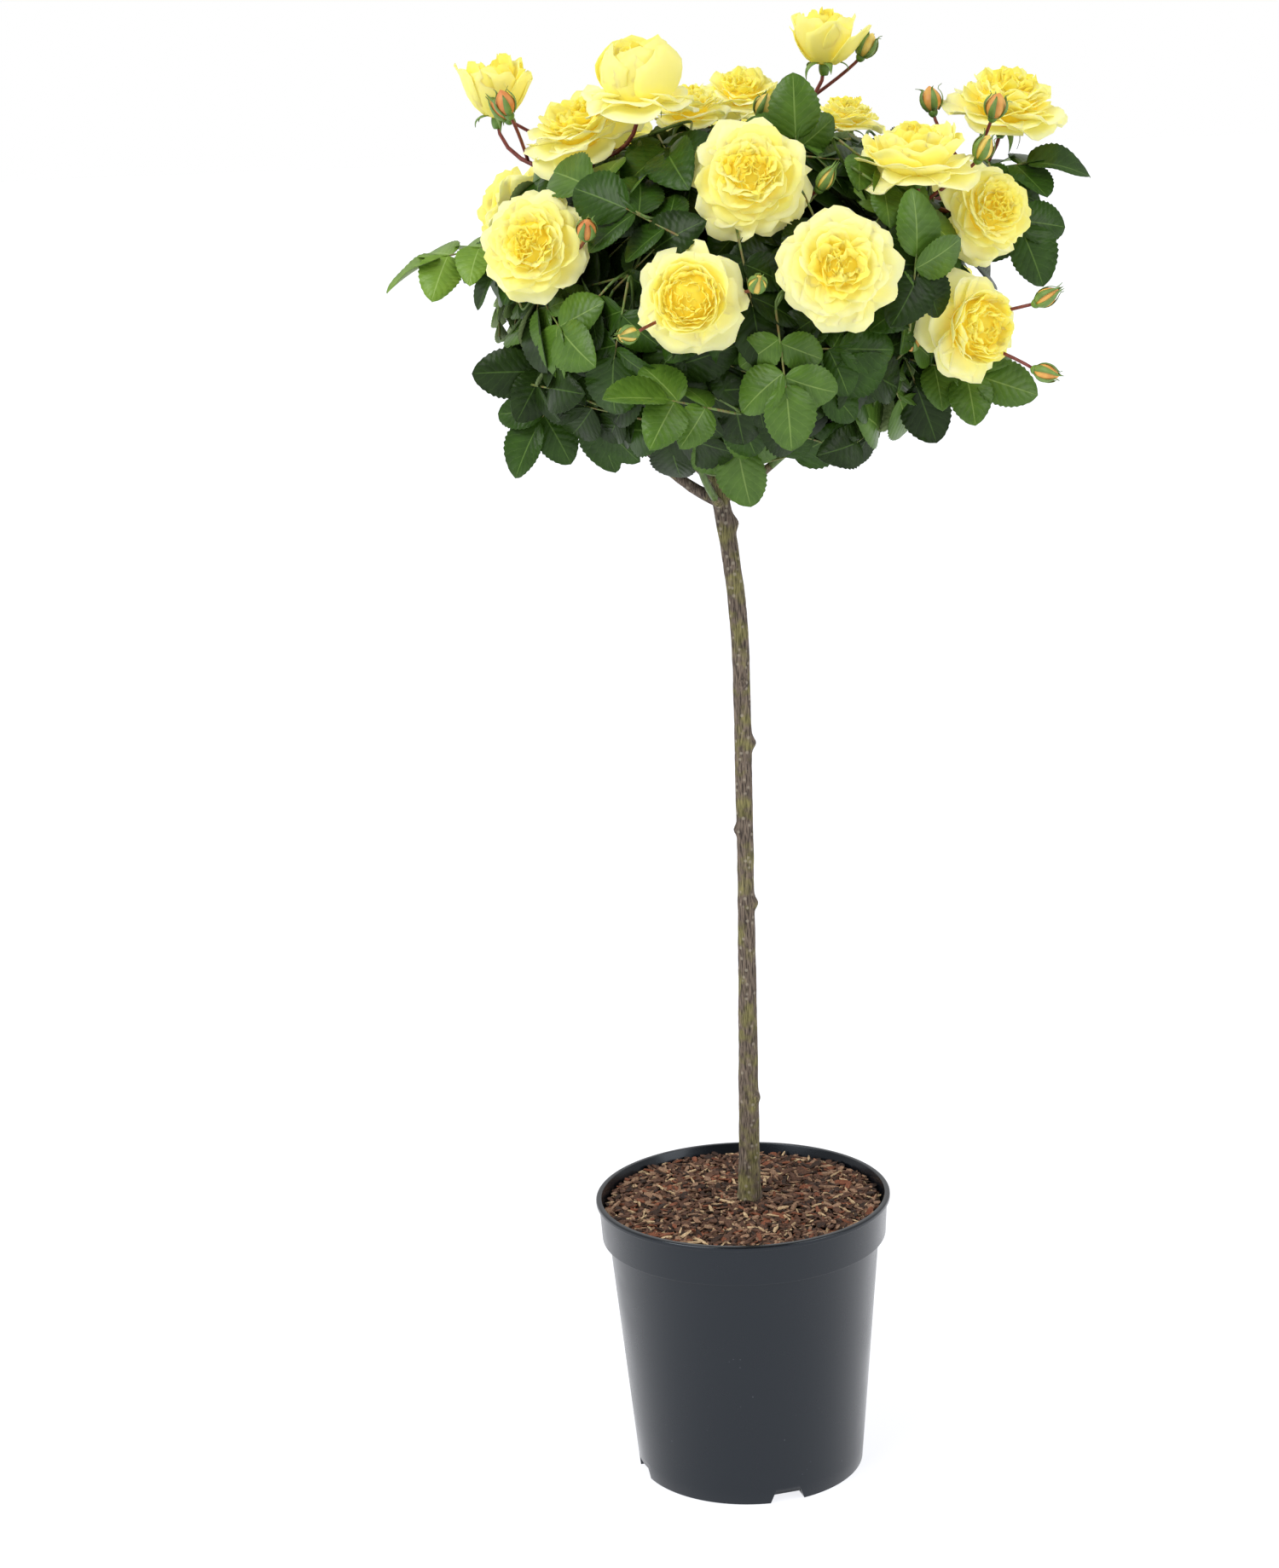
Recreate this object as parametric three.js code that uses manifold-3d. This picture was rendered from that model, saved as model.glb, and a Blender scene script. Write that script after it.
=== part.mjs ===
// Standard rose in a nursery pot: a grafted rose with one bare stem, a round leafy head of canes and
// large many-petalled flowers, standing in a round plastic pot topped up with chipped bark.
// Millimetres, +Z up. The origin is the middle of the pot's flat underside, and the plant faces -Y.
import * as THREE from "three";
import { mergeVertices } from "three/addons/utils/BufferGeometryUtils.js";
import Module from "manifold-3d";

const wasm = await Module();
wasm.setup();

// ---- Driving dimensions ----

const GAP = 0.3; // clearance between neighbouring solids
const DEGREE = Math.PI / 180;
const GOLDEN_ANGLE = Math.PI * (3 - Math.sqrt(5));
const UP = [0, 0, 1];

const pot = {
  height: 251,
  rimRadius: 130,
  lipHeight: 4.5,
  collarTopRadius: 127.5,
  collarFootRadius: 125.5,
  collarHeight: 38,
  bodyTopRadius: 119.5,
  baseRadius: 100.5,
  wall: 2.2,
  floor: 3,
  segments: 40,
};
const notch = { count: 4, first: -72, width: 28, height: 9, reach: 16 };
const mulch = { top: 245, edgeDrop: 6, flatRadius: 26, segments: 24 };

const trunk = {
  footZ: mulch.top + GAP,
  headZ: 893,
  footX: 6,
  bellyX: 13,
  headX: -5,
  bendZ: 790,
  footRadius: 9.4,
  flare: 2.2,
  waistRadius: 7.1,
  headRadius: 7.6,
  steps: 12,
  sides: 10,
};
// Old bud scars: height, turn about the stem from +X, and how far they stand out.
const knots = [
  [340, -40, 3.2],
  [516, -10, 3.4],
  [582, 180, 2.8],
  [658, 0, 3.8],
  [711, -80, 2.4],
  [848, -5, 4.2],
];

// The leafy head is a squarish ball round this centre, drawn in below, and the flowers stand out of it.
const crown = {
  centre: [16, -5, 1036],
  radii: [208, 200, 138],
  squareness: 2.8,
  drawnIn: 0.2,
  reach: 1.13, // how far out a leaf may stand, where 1 is the ball's skin
  farReach: 1.5, // and one of the far-reaching leaves
};

// A leaf has five leaflets, but only its tip and outer pair are modelled; the inner pair keeps its room.
const leaf = {
  count: 230,
  tries: 16,
  rachis: 60,
  pairs: [0.84, 0.4],
  pairLengths: [45, 38],
  tipLength: 52,
  modelled: 3,
  stalk: 16,
  perFlower: 3,
  highest: 1222,
  apart: 17,
  beside: 14,
  slender: 0.8,
  splay: 62,
  stalkRadius: 1.42,
  stagger: 1.6,
  thickness: 1.5,
};
const bud = { length: 25, width: 15, modelled: 1 };
const twig = { rootRadius: 2.3, tipRadius: 1.5, sides: 3, steps: 3 };
const stem = { sides: 4, steps: 4 };

// One entry for each mass of the head: where its twigs spread from, the limb that carries it, its
// flowers and its far-reaching leaves.
// A flower is [place, way it faces, width, form, buds], and a bud is [turn from +X, lift].
// A leaf is [place, way it points, way its face looks].
const masses = [
  {
    name: "left",
    hub: [-108, -76, 1048],
    limb: { from: "trunk", at: 0.985, rise: 0.5 },
    flowers: [[[-142, -130, 1092], [-0.3, -0.9, 0.3], 92, "open", [[-38, 12]]]],
    leaves: [
      [[-214, -40, 1080], [-0.98, -0.1, -0.2], [0, -0.4, 0.92]],
      [[-214, 6, 1110], [-0.95, 0.1, 0.1], [0.1, -0.35, 0.93]],
    ],
  },
  {
    name: "left_top",
    hub: [-98, -26, 1138],
    limb: { from: "left", at: 0.42, rise: 0.75 },
    flowers: [
      [[-173, 0, 1216], [0, -0.08, 1], 52, "young", [[-75, -16]]],
      [[-106, -36, 1188], [-0.33, -0.35, 0.88], 106, "open", [[-100, -32], [165, 6]]],
      [[-54, -90, 1222], [0.03, -0.12, 1], 88, "cup", [[70, 12]]],
    ],
    leaves: [],
  },
  {
    name: "top",
    hub: [24, -2, 1142],
    limb: { from: "trunk", at: 0.995, rise: 0.9 },
    flowers: [
      [[-16, -12, 1194], [-0.1, -0.2, 1], 66, "open", []],
      [[28, 36, 1206], [0.05, -0.45, 0.9], 78, "open", [[-70, -16], [-135, -22]]],
      [[96, 20, 1246], [0, -0.08, 1], 48, "young", [[8, -12]]],
    ],
    leaves: [[[69, -56, 1156], [0.02, -0.15, 1], [0.35, -0.93, 0]]],
  },
  {
    name: "front",
    hub: [34, -112, 1046],
    limb: { from: "trunk", at: 0.978, rise: 0.6 },
    flowers: [
      [[31, -152, 1140], [0, -0.93, 0.36], 100, "open", [[18, -6]]],
      [[-19, -205, 1051], [-0.1, -0.98, 0.15], 82, "open", [[-10, 10], [205, -24]]],
      [[96, -208, 1071], [0.05, -0.98, 0.15], 94, "open", [[0, 4]]],
    ],
    leaves: [
      [[-32, -196, 972], [-0.72, -0.3, 0.2], [0.05, -0.75, 0.65]],
      [[52, -188, 988], [0.1, -0.2, -1], [0.05, -0.95, 0.3]],
    ],
  },
  {
    name: "right_top",
    hub: [176, -38, 1108],
    limb: { from: "right", at: 0.5, rise: 0.8 },
    flowers: [
      [[163, -112, 1160], [0.02, -0.2, 1], 88, "cup", [[170, 2], [20, -8]]],
      [[247, 22, 1189], [0.2, -0.3, 0.93], 104, "open", [[-105, -6], [178, 0]]],
      [[224, -80, 1104], [0.5, -0.83, 0.22], 84, "open", []],
    ],
    leaves: [
      [[252, 4, 1134], [0.95, -0.1, 0.12], [-0.1, -0.45, 0.9]],
      [[246, -36, 1092], [0.4, -0.2, -0.85], [0.2, -0.97, 0.1]],
      [[156, -158, 1066], [0.1, -0.12, 1], [0.1, -0.95, 0.2]],
    ],
  },
  {
    name: "right",
    hub: [152, -76, 1010],
    limb: { from: "trunk", at: 0.99, rise: 0.5 },
    flowers: [[[208, -124, 1014], [0.55, -0.83, 0.02], 84, "open", [[5, 22], [172, -10], [-20, -36]]]],
    leaves: [
      [[202, -82, 974], [0.95, -0.2, -0.25], [0, -0.7, 0.7]],
      [[158, -72, 972], [0.35, -0.1, -0.9], [0.1, -0.9, 0.4]],
    ],
  },
  {
    name: "top_back",
    hub: [72, 78, 1128],
    limb: { from: "top", at: 0.4, rise: 0.8 },
    flowers: [
      [[116, 104, 1180], [0.1, -0.1, 1], 66, "open", [[150, 0]]],
      [[30, 150, 1176], [-0.1, 0.35, 0.93], 88, "cup", [[60, -8]]],
    ],
    leaves: [],
  },
  {
    name: "back_left",
    hub: [-108, 84, 1086],
    limb: { from: "trunk", at: 0.982, rise: 0.55 },
    flowers: [
      [[-172, 116, 1112], [-0.75, 0.6, 0.35], 88, "open", [[100, 8]]],
      [[-92, 158, 1160], [-0.3, 0.6, 0.75], 96, "open", [[20, -4]]],
    ],
    leaves: [],
  },
  {
    name: "back",
    hub: [-6, 126, 1030],
    limb: { from: "trunk", at: 0.978, rise: 0.6 },
    flowers: [
      [[-62, 204, 1068], [-0.2, 0.95, 0.15], 90, "open", [[160, 14]]],
      [[56, 206, 1040], [0.15, 0.97, 0.1], 84, "open", [[30, 10]]],
    ],
    leaves: [],
  },
  {
    name: "back_right",
    hub: [138, 96, 1046],
    limb: { from: "trunk", at: 0.987, rise: 0.55 },
    flowers: [
      [[172, 166, 1120], [0.4, 0.8, 0.45], 94, "open", [[150, 6]]],
      [[200, 118, 1026], [0.75, 0.65, 0.1], 84, "open", [[80, 12]]],
    ],
    leaves: [],
  },
  {
    name: "skirt_left",
    hub: [-92, -24, 956],
    limb: { from: "trunk", at: 0.958, rise: 0.35 },
    flowers: [],
    leaves: [
      [[-140, -60, 985], [-0.9, -0.2, 0.1], [-0.1, -0.9, 0.4]],
      [[-142, -48, 950], [-0.5, -0.15, -0.8], [-0.1, -0.9, 0.4]],
      [[-100, -14, 952], [0.1, -0.1, -1], [-0.3, -0.9, 0.2]],
    ],
  },
  {
    name: "skirt_right",
    hub: [100, -16, 954],
    limb: { from: "trunk", at: 0.962, rise: 0.35 },
    flowers: [],
    leaves: [
      [[104, 0, 960], [0.1, 0, -1], [0.8, -0.5, 0.2]],
      [[96, -68, 954], [0.1, -0.1, -1], [0.05, -0.95, 0.3]],
    ],
  },
  {
    name: "skirt_front",
    hub: [-26, -70, 942],
    limb: { from: "trunk", at: 0.952, rise: 0.35 },
    flowers: [],
    leaves: [
      [[14, -92, 930], [0.15, -0.1, -1], [0, -0.95, 0.3]],
      [[-62, -84, 966], [-0.2, -0.1, -1], [-0.1, -0.95, 0.3]],
    ],
  },
  {
    name: "skirt_back",
    hub: [6, 76, 950],
    limb: { from: "trunk", at: 0.96, rise: 0.35 },
    flowers: [],
    leaves: [],
  },
];
const hubRoom = 48; // how strongly a hub claims space, beside flowers that claim their own width
const flowerRoom = 4; // and a little more than it
const leafRoom = 38; // and how much a far-reaching leaf claims

// ---- Small sums on places ----

const add = (a, b, k = 1) => [a[0] + b[0] * k, a[1] + b[1] * k, a[2] + b[2] * k];
const sub = (a, b) => add(a, b, -1);
const dot = (a, b) => a[0] * b[0] + a[1] * b[1] + a[2] * b[2];
const scaled = (a, k) => [a[0] * k, a[1] * k, a[2] * k];
const length = (a) => Math.sqrt(dot(a, a));
const unit = (a) => scaled(a, 1 / (length(a) || 1));
const across = (a, b) => [a[1] * b[2] - a[2] * b[1], a[2] * b[0] - a[0] * b[2], a[0] * b[1] - a[1] * b[0]];
const between = (a, b, t) => add(scaled(a, 1 - t), b, t);
const bent = ([a, b, c], t) => between(between(a, b, t), between(b, c, t), t);

// The same curve drawn as a few straight steps, so that what forks from it starts inside it.
function stepped(curve, t, steps = twig.steps) {
  const i = Math.min(steps - 1, Math.floor(t * steps + 1e-9));
  return between(bent(curve, i / steps), bent(curve, (i + 1) / steps), t * steps - i);
}

// Numbers from 0 to 1 that are the same on every run.
function seeded(seed) {
  let state = (seed * 2654435761) >>> 0;
  return () => {
    state = (Math.imul(state, 1664525) + 1013904223) >>> 0;
    return state / 4294967296;
  };
}

// ---- Solids ----

function solidOf(geometry) {
  const bare = geometry.clone();
  bare.deleteAttribute("normal");
  bare.deleteAttribute("uv");
  const merged = mergeVertices(bare, 1e-4);
  return new wasm.Manifold(
    new wasm.Mesh({
      numProp: 3,
      vertProperties: new Float32Array(merged.attributes.position.array),
      triVerts: new Uint32Array(merged.index.array),
    }),
  );
}

function geometryOf(solid) {
  const mesh = solid.getMesh();
  const places = new Float32Array(mesh.numVert * 3);
  for (let i = 0; i < mesh.numVert; i++) {
    places.set(mesh.vertProperties.subarray(i * mesh.numProp, i * mesh.numProp + 3), i * 3);
  }
  const geometry = new THREE.BufferGeometry();
  geometry.setAttribute("position", new THREE.BufferAttribute(places, 3));
  geometry.setIndex(new THREE.BufferAttribute(new Uint32Array(mesh.triVerts), 1));
  geometry.computeVertexNormals();
  return geometry;
}

// The largest closed body of a solid: scraps and sealed hollows are dropped. Slivers finer than
// `fineness` go first, and corners that lie on the same place are merged, since a scrap may hang on by one.
function mainBody(solid, fineness = 0) {
  const largest = (bodies) => bodies.sort((a, b) => b.volume() - a.volume())[0];
  const plain = fineness ? solid.simplify(fineness) : solid;
  return largest(solidOf(geometryOf(largest(plain.decompose()))).decompose());
}

// Moves a shape made round +Z, at the origin, to a place and a direction.
function placed(geometry, place, axis, side = null) {
  const z = new THREE.Vector3(...unit(axis));
  const hint = new THREE.Vector3(...(side ?? (Math.abs(z.z) > 0.9 ? [1, 0, 0] : UP)));
  const x = new THREE.Vector3().crossVectors(hint, z).normalize();
  const y = new THREE.Vector3().crossVectors(z, x);
  const turn = new THREE.Matrix4().makeBasis(x, y, z).setPosition(...place);
  return geometry.applyMatrix4(turn);
}

// A closed tapering tube along a curve, given as a function of 0 to 1: a cylinder whose rings are
// carried onto the curve.
function tube(path, radiusAt, sides, steps) {
  const geometry = new THREE.CylinderGeometry(1, 1, 1, sides, steps);
  const places = geometry.attributes.position;
  const frames = [];
  let side = Math.abs(unit(sub(path(0.01), path(0)))[2]) > 0.9 ? [1, 0, 0] : UP;
  for (let i = 0; i <= steps; i++) {
    const t = i / steps;
    const along = unit(sub(path(Math.min(1, t + 0.02)), path(Math.max(0, t - 0.02))));
    side = unit(sub(side, scaled(along, dot(side, along))));
    frames.push({ at: path(t), side, over: across(side, along), radius: radiusAt(t) });
  }
  for (let i = 0; i < places.count; i++) {
    const frame = frames[Math.round((places.getY(i) + 0.5) * steps)];
    const across = add(scaled(frame.side, places.getX(i)), frame.over, places.getZ(i));
    places.setXYZ(i, ...add(frame.at, across, frame.radius));
  }
  return geometry;
}

const joined = (geometries) => wasm.Manifold.union(geometries.map(solidOf));

// ---- Pot and bark ----

const bodyRadiusAt = (z) =>
  pot.baseRadius + ((pot.bodyTopRadius - pot.baseRadius) * z) / (pot.height - pot.collarHeight);

function turned(profile, segments) {
  const points = profile.map(([radius, z]) => new THREE.Vector2(radius, z));
  return new THREE.LatheGeometry(points, segments).rotateX(Math.PI / 2);
}

function makePot() {
  const p = pot;
  const collarFoot = p.height - p.collarHeight;
  const profile = [
    [0, 0],
    [p.baseRadius, 0],
    [p.bodyTopRadius, collarFoot],
    [p.collarFootRadius, collarFoot + 1.5],
    [p.collarTopRadius, p.height - p.lipHeight],
    [p.rimRadius, p.height - p.lipHeight + 0.5],
    [p.rimRadius, p.height - 1],
    [p.rimRadius - 1, p.height],
    [p.collarTopRadius - p.wall, p.height],
    [p.bodyTopRadius - p.wall, collarFoot],
    [bodyRadiusAt(p.floor) - p.wall, p.floor],
    [0, p.floor],
  ];
  let solid = solidOf(turned(profile, p.segments));
  for (let i = 0; i < notch.count; i++) {
    const turn = (notch.first + (i * 360) / notch.count - 90) * DEGREE;
    const outline = new THREE.Shape();
    outline.moveTo(-notch.width / 2 - 2, -1);
    outline.lineTo(notch.width / 2 + 2, -1);
    outline.lineTo(notch.width / 2 - 2, notch.height);
    outline.lineTo(-notch.width / 2 + 2, notch.height);
    outline.closePath();
    const cutter = new THREE.ExtrudeGeometry(outline, { depth: 60, bevelEnabled: false })
      .rotateX(Math.PI / 2)
      .rotateZ(Math.PI / 2);
    cutter.computeBoundingBox();
    cutter.translate(p.baseRadius - notch.reach - cutter.boundingBox.min.x, 0, 0).rotateZ(turn);
    solid = solid.subtract(solidOf(cutter));
  }
  return solid;
}

function makeMulch() {
  const wallFoot = pot.bodyTopRadius - pot.wall;
  const wallTop = pot.collarTopRadius - pot.wall;
  const edgeZ = mulch.top - mulch.edgeDrop;
  const up = (edgeZ - pot.height + pot.collarHeight) / pot.collarHeight;
  const spare = GAP + 0.45; // the turned wall's flats come inside its circle
  const profile = [
    [0, pot.floor + GAP],
    [bodyRadiusAt(pot.floor) - pot.wall - spare, pot.floor + GAP],
    [wallFoot - spare, pot.height - pot.collarHeight],
    [wallFoot + (wallTop - wallFoot) * up - spare, edgeZ],
    [62, edgeZ + 4.6],
    [mulch.flatRadius, mulch.top],
    [0, mulch.top],
  ];
  return solidOf(turned(profile, mulch.segments));
}

// ---- Stem and limbs ----

function trunkAt(t) {
  const z = trunk.footZ + (trunk.headZ - trunk.footZ) * t;
  const share = (z - trunk.footZ) / (trunk.bendZ - trunk.footZ);
  const bow = trunk.footX + (trunk.bellyX - trunk.footX) * Math.sin(Math.min(share, 1) * 0.5 * Math.PI);
  const past = Math.max(0, (z - trunk.bendZ + 70) / (trunk.headZ - trunk.bendZ + 70));
  return [bow + (trunk.headX - trunk.bellyX) * past * past, 0, z];
}

function trunkRadiusAt(t) {
  const flare = trunk.flare * Math.exp(-t * 40);
  const slim = trunk.footRadius + (trunk.waistRadius - trunk.footRadius) * Math.min(1, t * 2.2);
  return slim + flare + (trunk.headRadius - trunk.waistRadius) * Math.max(0, t * 2 - 1);
}

function makeTrunk() {
  const pieces = [tube(trunkAt, trunkRadiusAt, trunk.sides, trunk.steps)];
  for (const [z, turn, stand] of knots) {
    const t = (z - trunk.footZ) / (trunk.headZ - trunk.footZ);
    const out = [Math.cos(turn * DEGREE), Math.sin(turn * DEGREE), 0];
    const lump = new THREE.SphereGeometry(stand + 1.6, 6, 3).scale(1, 1, 1.5);
    pieces.push(lump.translate(...add(trunkAt(t), out, trunkRadiusAt(t) - 2)));
  }
  return mainBody(joined(pieces));
}

const limbRadii = { root: 5.4, tip: 3.4, sideRoot: 4.4, sides: 6, steps: 3 };
const entering = 14; // how far inside its mass's space a limb ends

// The head's space is shared out between the masses: a place belongs to the mass whose hub, flower or
// far-reaching leaf is nearest, each measured from the skin of the ball it claims.
const sites = masses.flatMap((mass) => [
  { mass, place: mass.hub, room: hubRoom },
  ...mass.flowers.map(([place, , width]) => ({ mass, place, room: width / 2 + flowerRoom })),
  ...mass.leaves.map(([place]) => ({ mass, place, room: leafRoom })),
]);

// The mass that owns a place, and how far that is from the nearest space of another mass.
function ownerOf(place) {
  let own = null;
  const scores = sites.map((site) => {
    const off = sub(place, site.place);
    const score = dot(off, off) - site.room * site.room;
    if (!own || score < own.score) own = { site, score };
    return score;
  });
  let depth = Infinity;
  sites.forEach((site, i) => {
    if (site.mass === own.site.mass) return;
    depth = Math.min(depth, (scores[i] - own.score) / (2 * length(sub(site.place, own.site.place))));
  });
  return { mass: own.site.mass, depth };
}

function depthIn(mass, place) {
  const owner = ownerOf(place);
  return owner.mass === mass ? owner.depth : -1;
}

// Each limb is a curve from its carrier to its mass's hub. It ends just inside the mass's space,
// and the rest of the curve is the mass's own stem.
function planLimbs() {
  const limbs = {};
  const ordered = [...masses].sort((a, b) => (a.limb.from !== "trunk") - (b.limb.from !== "trunk"));
  for (const mass of ordered) {
    const { from, at, rise } = mass.limb;
    const onTrunk = from === "trunk";
    const start = onTrunk ? trunkAt(at) : bent(limbs[from].curve, at * limbs[from].end);
    const reach = sub(mass.hub, start);
    const bend = add(start, unit([reach[0], reach[1], 0]), length(reach) * (0.5 - 0.35 * rise));
    const curve = [start, add(bend, UP, length(reach) * 0.5 * rise), mass.hub];
    let end = 0.2;
    while (end < 0.9 && depthIn(mass, bent(curve, end)) < entering) end += 0.01;
    const root = onTrunk ? limbRadii.root : limbRadii.sideRoot;
    const radiusAt = (t) => root + (limbRadii.tip - root) * (t / end);
    limbs[mass.name] = { curve, end, radiusAt, at: (t) => bent(curve, t * end) };
  }
  return limbs;
}

const limbs = planLimbs();

function makeLimbs(trunkSolid) {
  const made = {};
  const grown = (limb, extra) =>
    solidOf(tube(limb.at, (t) => limb.radiusAt(t * limb.end) + extra, limbRadii.sides, limbRadii.steps));
  const trunkRoom = solidOf(tube(trunkAt, (t) => trunkRadiusAt(t) + GAP, trunk.sides, trunk.steps));
  const taken = [trunkRoom, trunkSolid];
  for (const [name, limb] of Object.entries(limbs)) {
    const solid = taken.reduce((left, cutter) => left.subtract(cutter), grown(limb, 0));
    made[name] = mainBody(solid);
    taken.push(grown(limb, GAP));
  }
  return made;
}

// ---- The seeded rule that the twigs and leaves grow by ----

const flowerForms = { open: 0.52, cup: 0.66, young: 1.1 }; // depth for each unit of width
const flowers = masses.flatMap((mass) =>
  mass.flowers.map(([place, faces, width, form, buds]) => {
    return { mass, place, faces: unit(faces), width, form, buds };
  }),
);

function clearOfLimbs(place, spare) {
  for (const limb of Object.values(limbs)) {
    for (let i = 0; i <= 16; i++) {
      if (length(sub(place, limb.at(i / 16))) < limb.radiusAt((i / 16) * limb.end) + spare) return false;
    }
  }
  const t = (place[2] - trunk.footZ) / (trunk.headZ - trunk.footZ);
  return t > 1.02 || length(sub(place, trunkAt(Math.min(t, 1)))) > trunk.headRadius + spare;
}

function clearOfFlowers(place, spare, own = null) {
  return flowers.every((f) => f === own || length(sub(place, f.place)) > f.width * 0.43 + spare);
}

function twigFits(mass, curve, own) {
  for (let i = 1; i <= 10; i++) {
    const place = bent(curve, i / 10);
    if (depthIn(mass, place) < 3.5) return false;
    if (!clearOfLimbs(place, 5) || !clearOfFlowers(place, 3, own)) return false;
  }
  return true;
}

// Whether a place is before the open face of a flower, or close beside that: leaves keep it free.
function beforeFlower(place) {
  return flowers.some((flower) => {
    const off = sub(place, flower.place);
    const ahead = dot(off, flower.faces);
    const aside = length(sub(off, scaled(flower.faces, ahead)));
    return ahead > 0 && aside < flower.width / 2 + leaf.beside;
  });
}

// The leaflets of one leaf from its tip down, as [root, tip, way the face looks, length].
function leafletsOf({ base, along, face, scale }) {
  const side = across(face, along);
  const leafletAt = (reach, way, size) => ({
    root: add(base, along, reach),
    way,
    face: unit(sub(face, scaled(way, dot(way, face)))),
    size: size * scale,
  });
  const found = [leafletAt(leaf.rachis * scale - 2.5, unit(add(along, face, -0.12)), leaf.tipLength)];
  leaf.pairs.forEach((share, i) => {
    for (const hand of [-1, 1]) {
      const splay = leaf.splay * DEGREE;
      const flat = add(scaled(along, Math.cos(splay)), side, hand * Math.sin(splay));
      const reach = leaf.rachis * scale * share + hand * leaf.stagger;
      found.push(leafletAt(reach, unit(add(flat, face, -0.18)), leaf.pairLengths[i]));
    }
  });
  return found;
}

// Points of a leaflet to test: shares of its length from the root, and of half its width from the middle.
const leafletProbes = [0.1, 0.3, 0.55, 0.8, 1].flatMap((u) => {
  const half = { 0.3: 0.8, 0.55: 1, 0.8: 0.6 }[u];
  return half ? [[u, half], [u, -half]] : [[u, 0]];
});

function leafletFits(mass, leaflet, reach) {
  const side = across(leaflet.face, leaflet.way);
  const half = (leaflet.size * leaf.slender) / 2;
  for (const [u, v] of leafletProbes) {
    const place = add(add(leaflet.root, leaflet.way, leaflet.size * u), side, half * v);
    if (place[2] > leaf.highest || crownShare(place) > reach || depthIn(mass, place) < 3) return false;
    if (!clearOfLimbs(place, 9) || !clearOfFlowers(place, 1)) return false;
  }
  return true;
}

function sprayAt(middle, along, face, scale) {
  const way = unit(along);
  const look = unit(sub(face, scaled(way, dot(way, face))));
  return { base: add(middle, way, -leaf.rachis * scale * 0.85), along: way, face: look, scale };
}

// How far out in the head a place is: 1 on the skin of the squarish ball.
function crownShare(place) {
  const off = sub(place, crown.centre);
  const narrow = 1 + crown.drawnIn * Math.min(0, off[2] / length(off));
  const inBall = [off[0] / narrow, off[1] / narrow, off[2]];
  const total = inBall.reduce((sum, c, i) => sum + Math.abs(c / crown.radii[i]) ** crown.squareness, 0);
  return total ** (1 / crown.squareness);
}

// Leaf k of the head, at its nth try: an even spiral over the squarish ball, its blades turned outwards.
function latticeSpray(k, n) {
  const draw = seeded(500 + 16 * k + n);
  const height = 1 - (2 * k + 1) / leaf.count;
  const ring = Math.sqrt(1 - height * height);
  const turn = k * GOLDEN_ANGLE + 0.5 * (draw() - 0.5);
  const out = [ring * Math.cos(turn), ring * Math.sin(turn), height];
  const power = crown.squareness;
  const total = out.reduce((sum, c, i) => sum + Math.abs(c / crown.radii[i]) ** power, 0);
  const reach = total ** (-1 / power) * (0.62 + 0.34 * draw());
  const narrow = 1 + crown.drawnIn * Math.min(0, out[2]);
  const middle = add(crown.centre, [out[0] * narrow, out[1] * narrow, out[2]], reach);
  const hang = unit(add(scaled(UP, -1), [out[0], out[1], 0], 0.9));
  const down = unit(sub(hang, scaled(out, dot(hang, out))));
  const side = across(out, down);
  const swing = (draw() - 0.5) * 260 * DEGREE;
  const flat = add(scaled(down, Math.cos(swing)), side, Math.sin(swing));
  const along = add(flat, out, 0.1 + 0.35 * draw());
  return sprayAt(middle, along, add(out, UP, 0.35), 0.86 + 0.2 * draw());
}

// A spray with the leaflets of it that fit, or nothing if it has no room beside the others.
function fitted(spray, others, reach = crown.reach) {
  const { mass } = ownerOf(add(spray.base, spray.along, leaf.rachis * 0.6));
  const rachis = [0, 0.5, 1].map((t) => add(spray.base, spray.along, leaf.rachis * spray.scale * t));
  if (!twigFits(mass, rachis, null)) return null;
  const leaflets = leafletsOf(spray).map((leaflet) => {
    return leafletFits(mass, leaflet, reach) ? leaflet : null;
  });
  if (!leaflets[0] || !(leaflets[1] || leaflets[2])) return null;
  const kept = leaflets.filter((leaflet) => leaflet);
  const middles = kept.map(({ root, way, size }) => add(root, way, size / 2));
  if (reach === crown.reach && middles.some(beforeFlower)) return null;
  const near = (a, b) => length(sub(a, b)) < leaf.apart;
  if (others.some((other) => other.middles.some((m) => middles.some((own) => near(m, own))))) return null;
  return { ...spray, mass, rachis, leaflets, middles };
}

// The best of a number of tries: the first with every leaflet, or else the one with the most.
function bestOf(tries, sprayOf) {
  let best = null;
  for (let n = 0; n < tries && best?.middles.length !== 5; n++) {
    const spray = sprayOf(n);
    if (spray && spray.middles.length > (best?.middles.length ?? 0)) best = spray;
  }
  return best;
}

function plannedSprays() {
  const planned = [];
  const plan = (spray) => spray && planned.push(spray);
  for (const mass of masses) {
    for (const [place, along, face] of mass.leaves) {
      plan(fitted(sprayAt(place, along, unit(face), 1), planned, crown.farReach));
    }
  }
  for (let k = 0; k < leaf.count; k++) {
    plan(bestOf(leaf.tries, (n) => fitted(latticeSpray(k, n), planned)));
  }
  return planned;
}

const sprays = plannedSprays();

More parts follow.
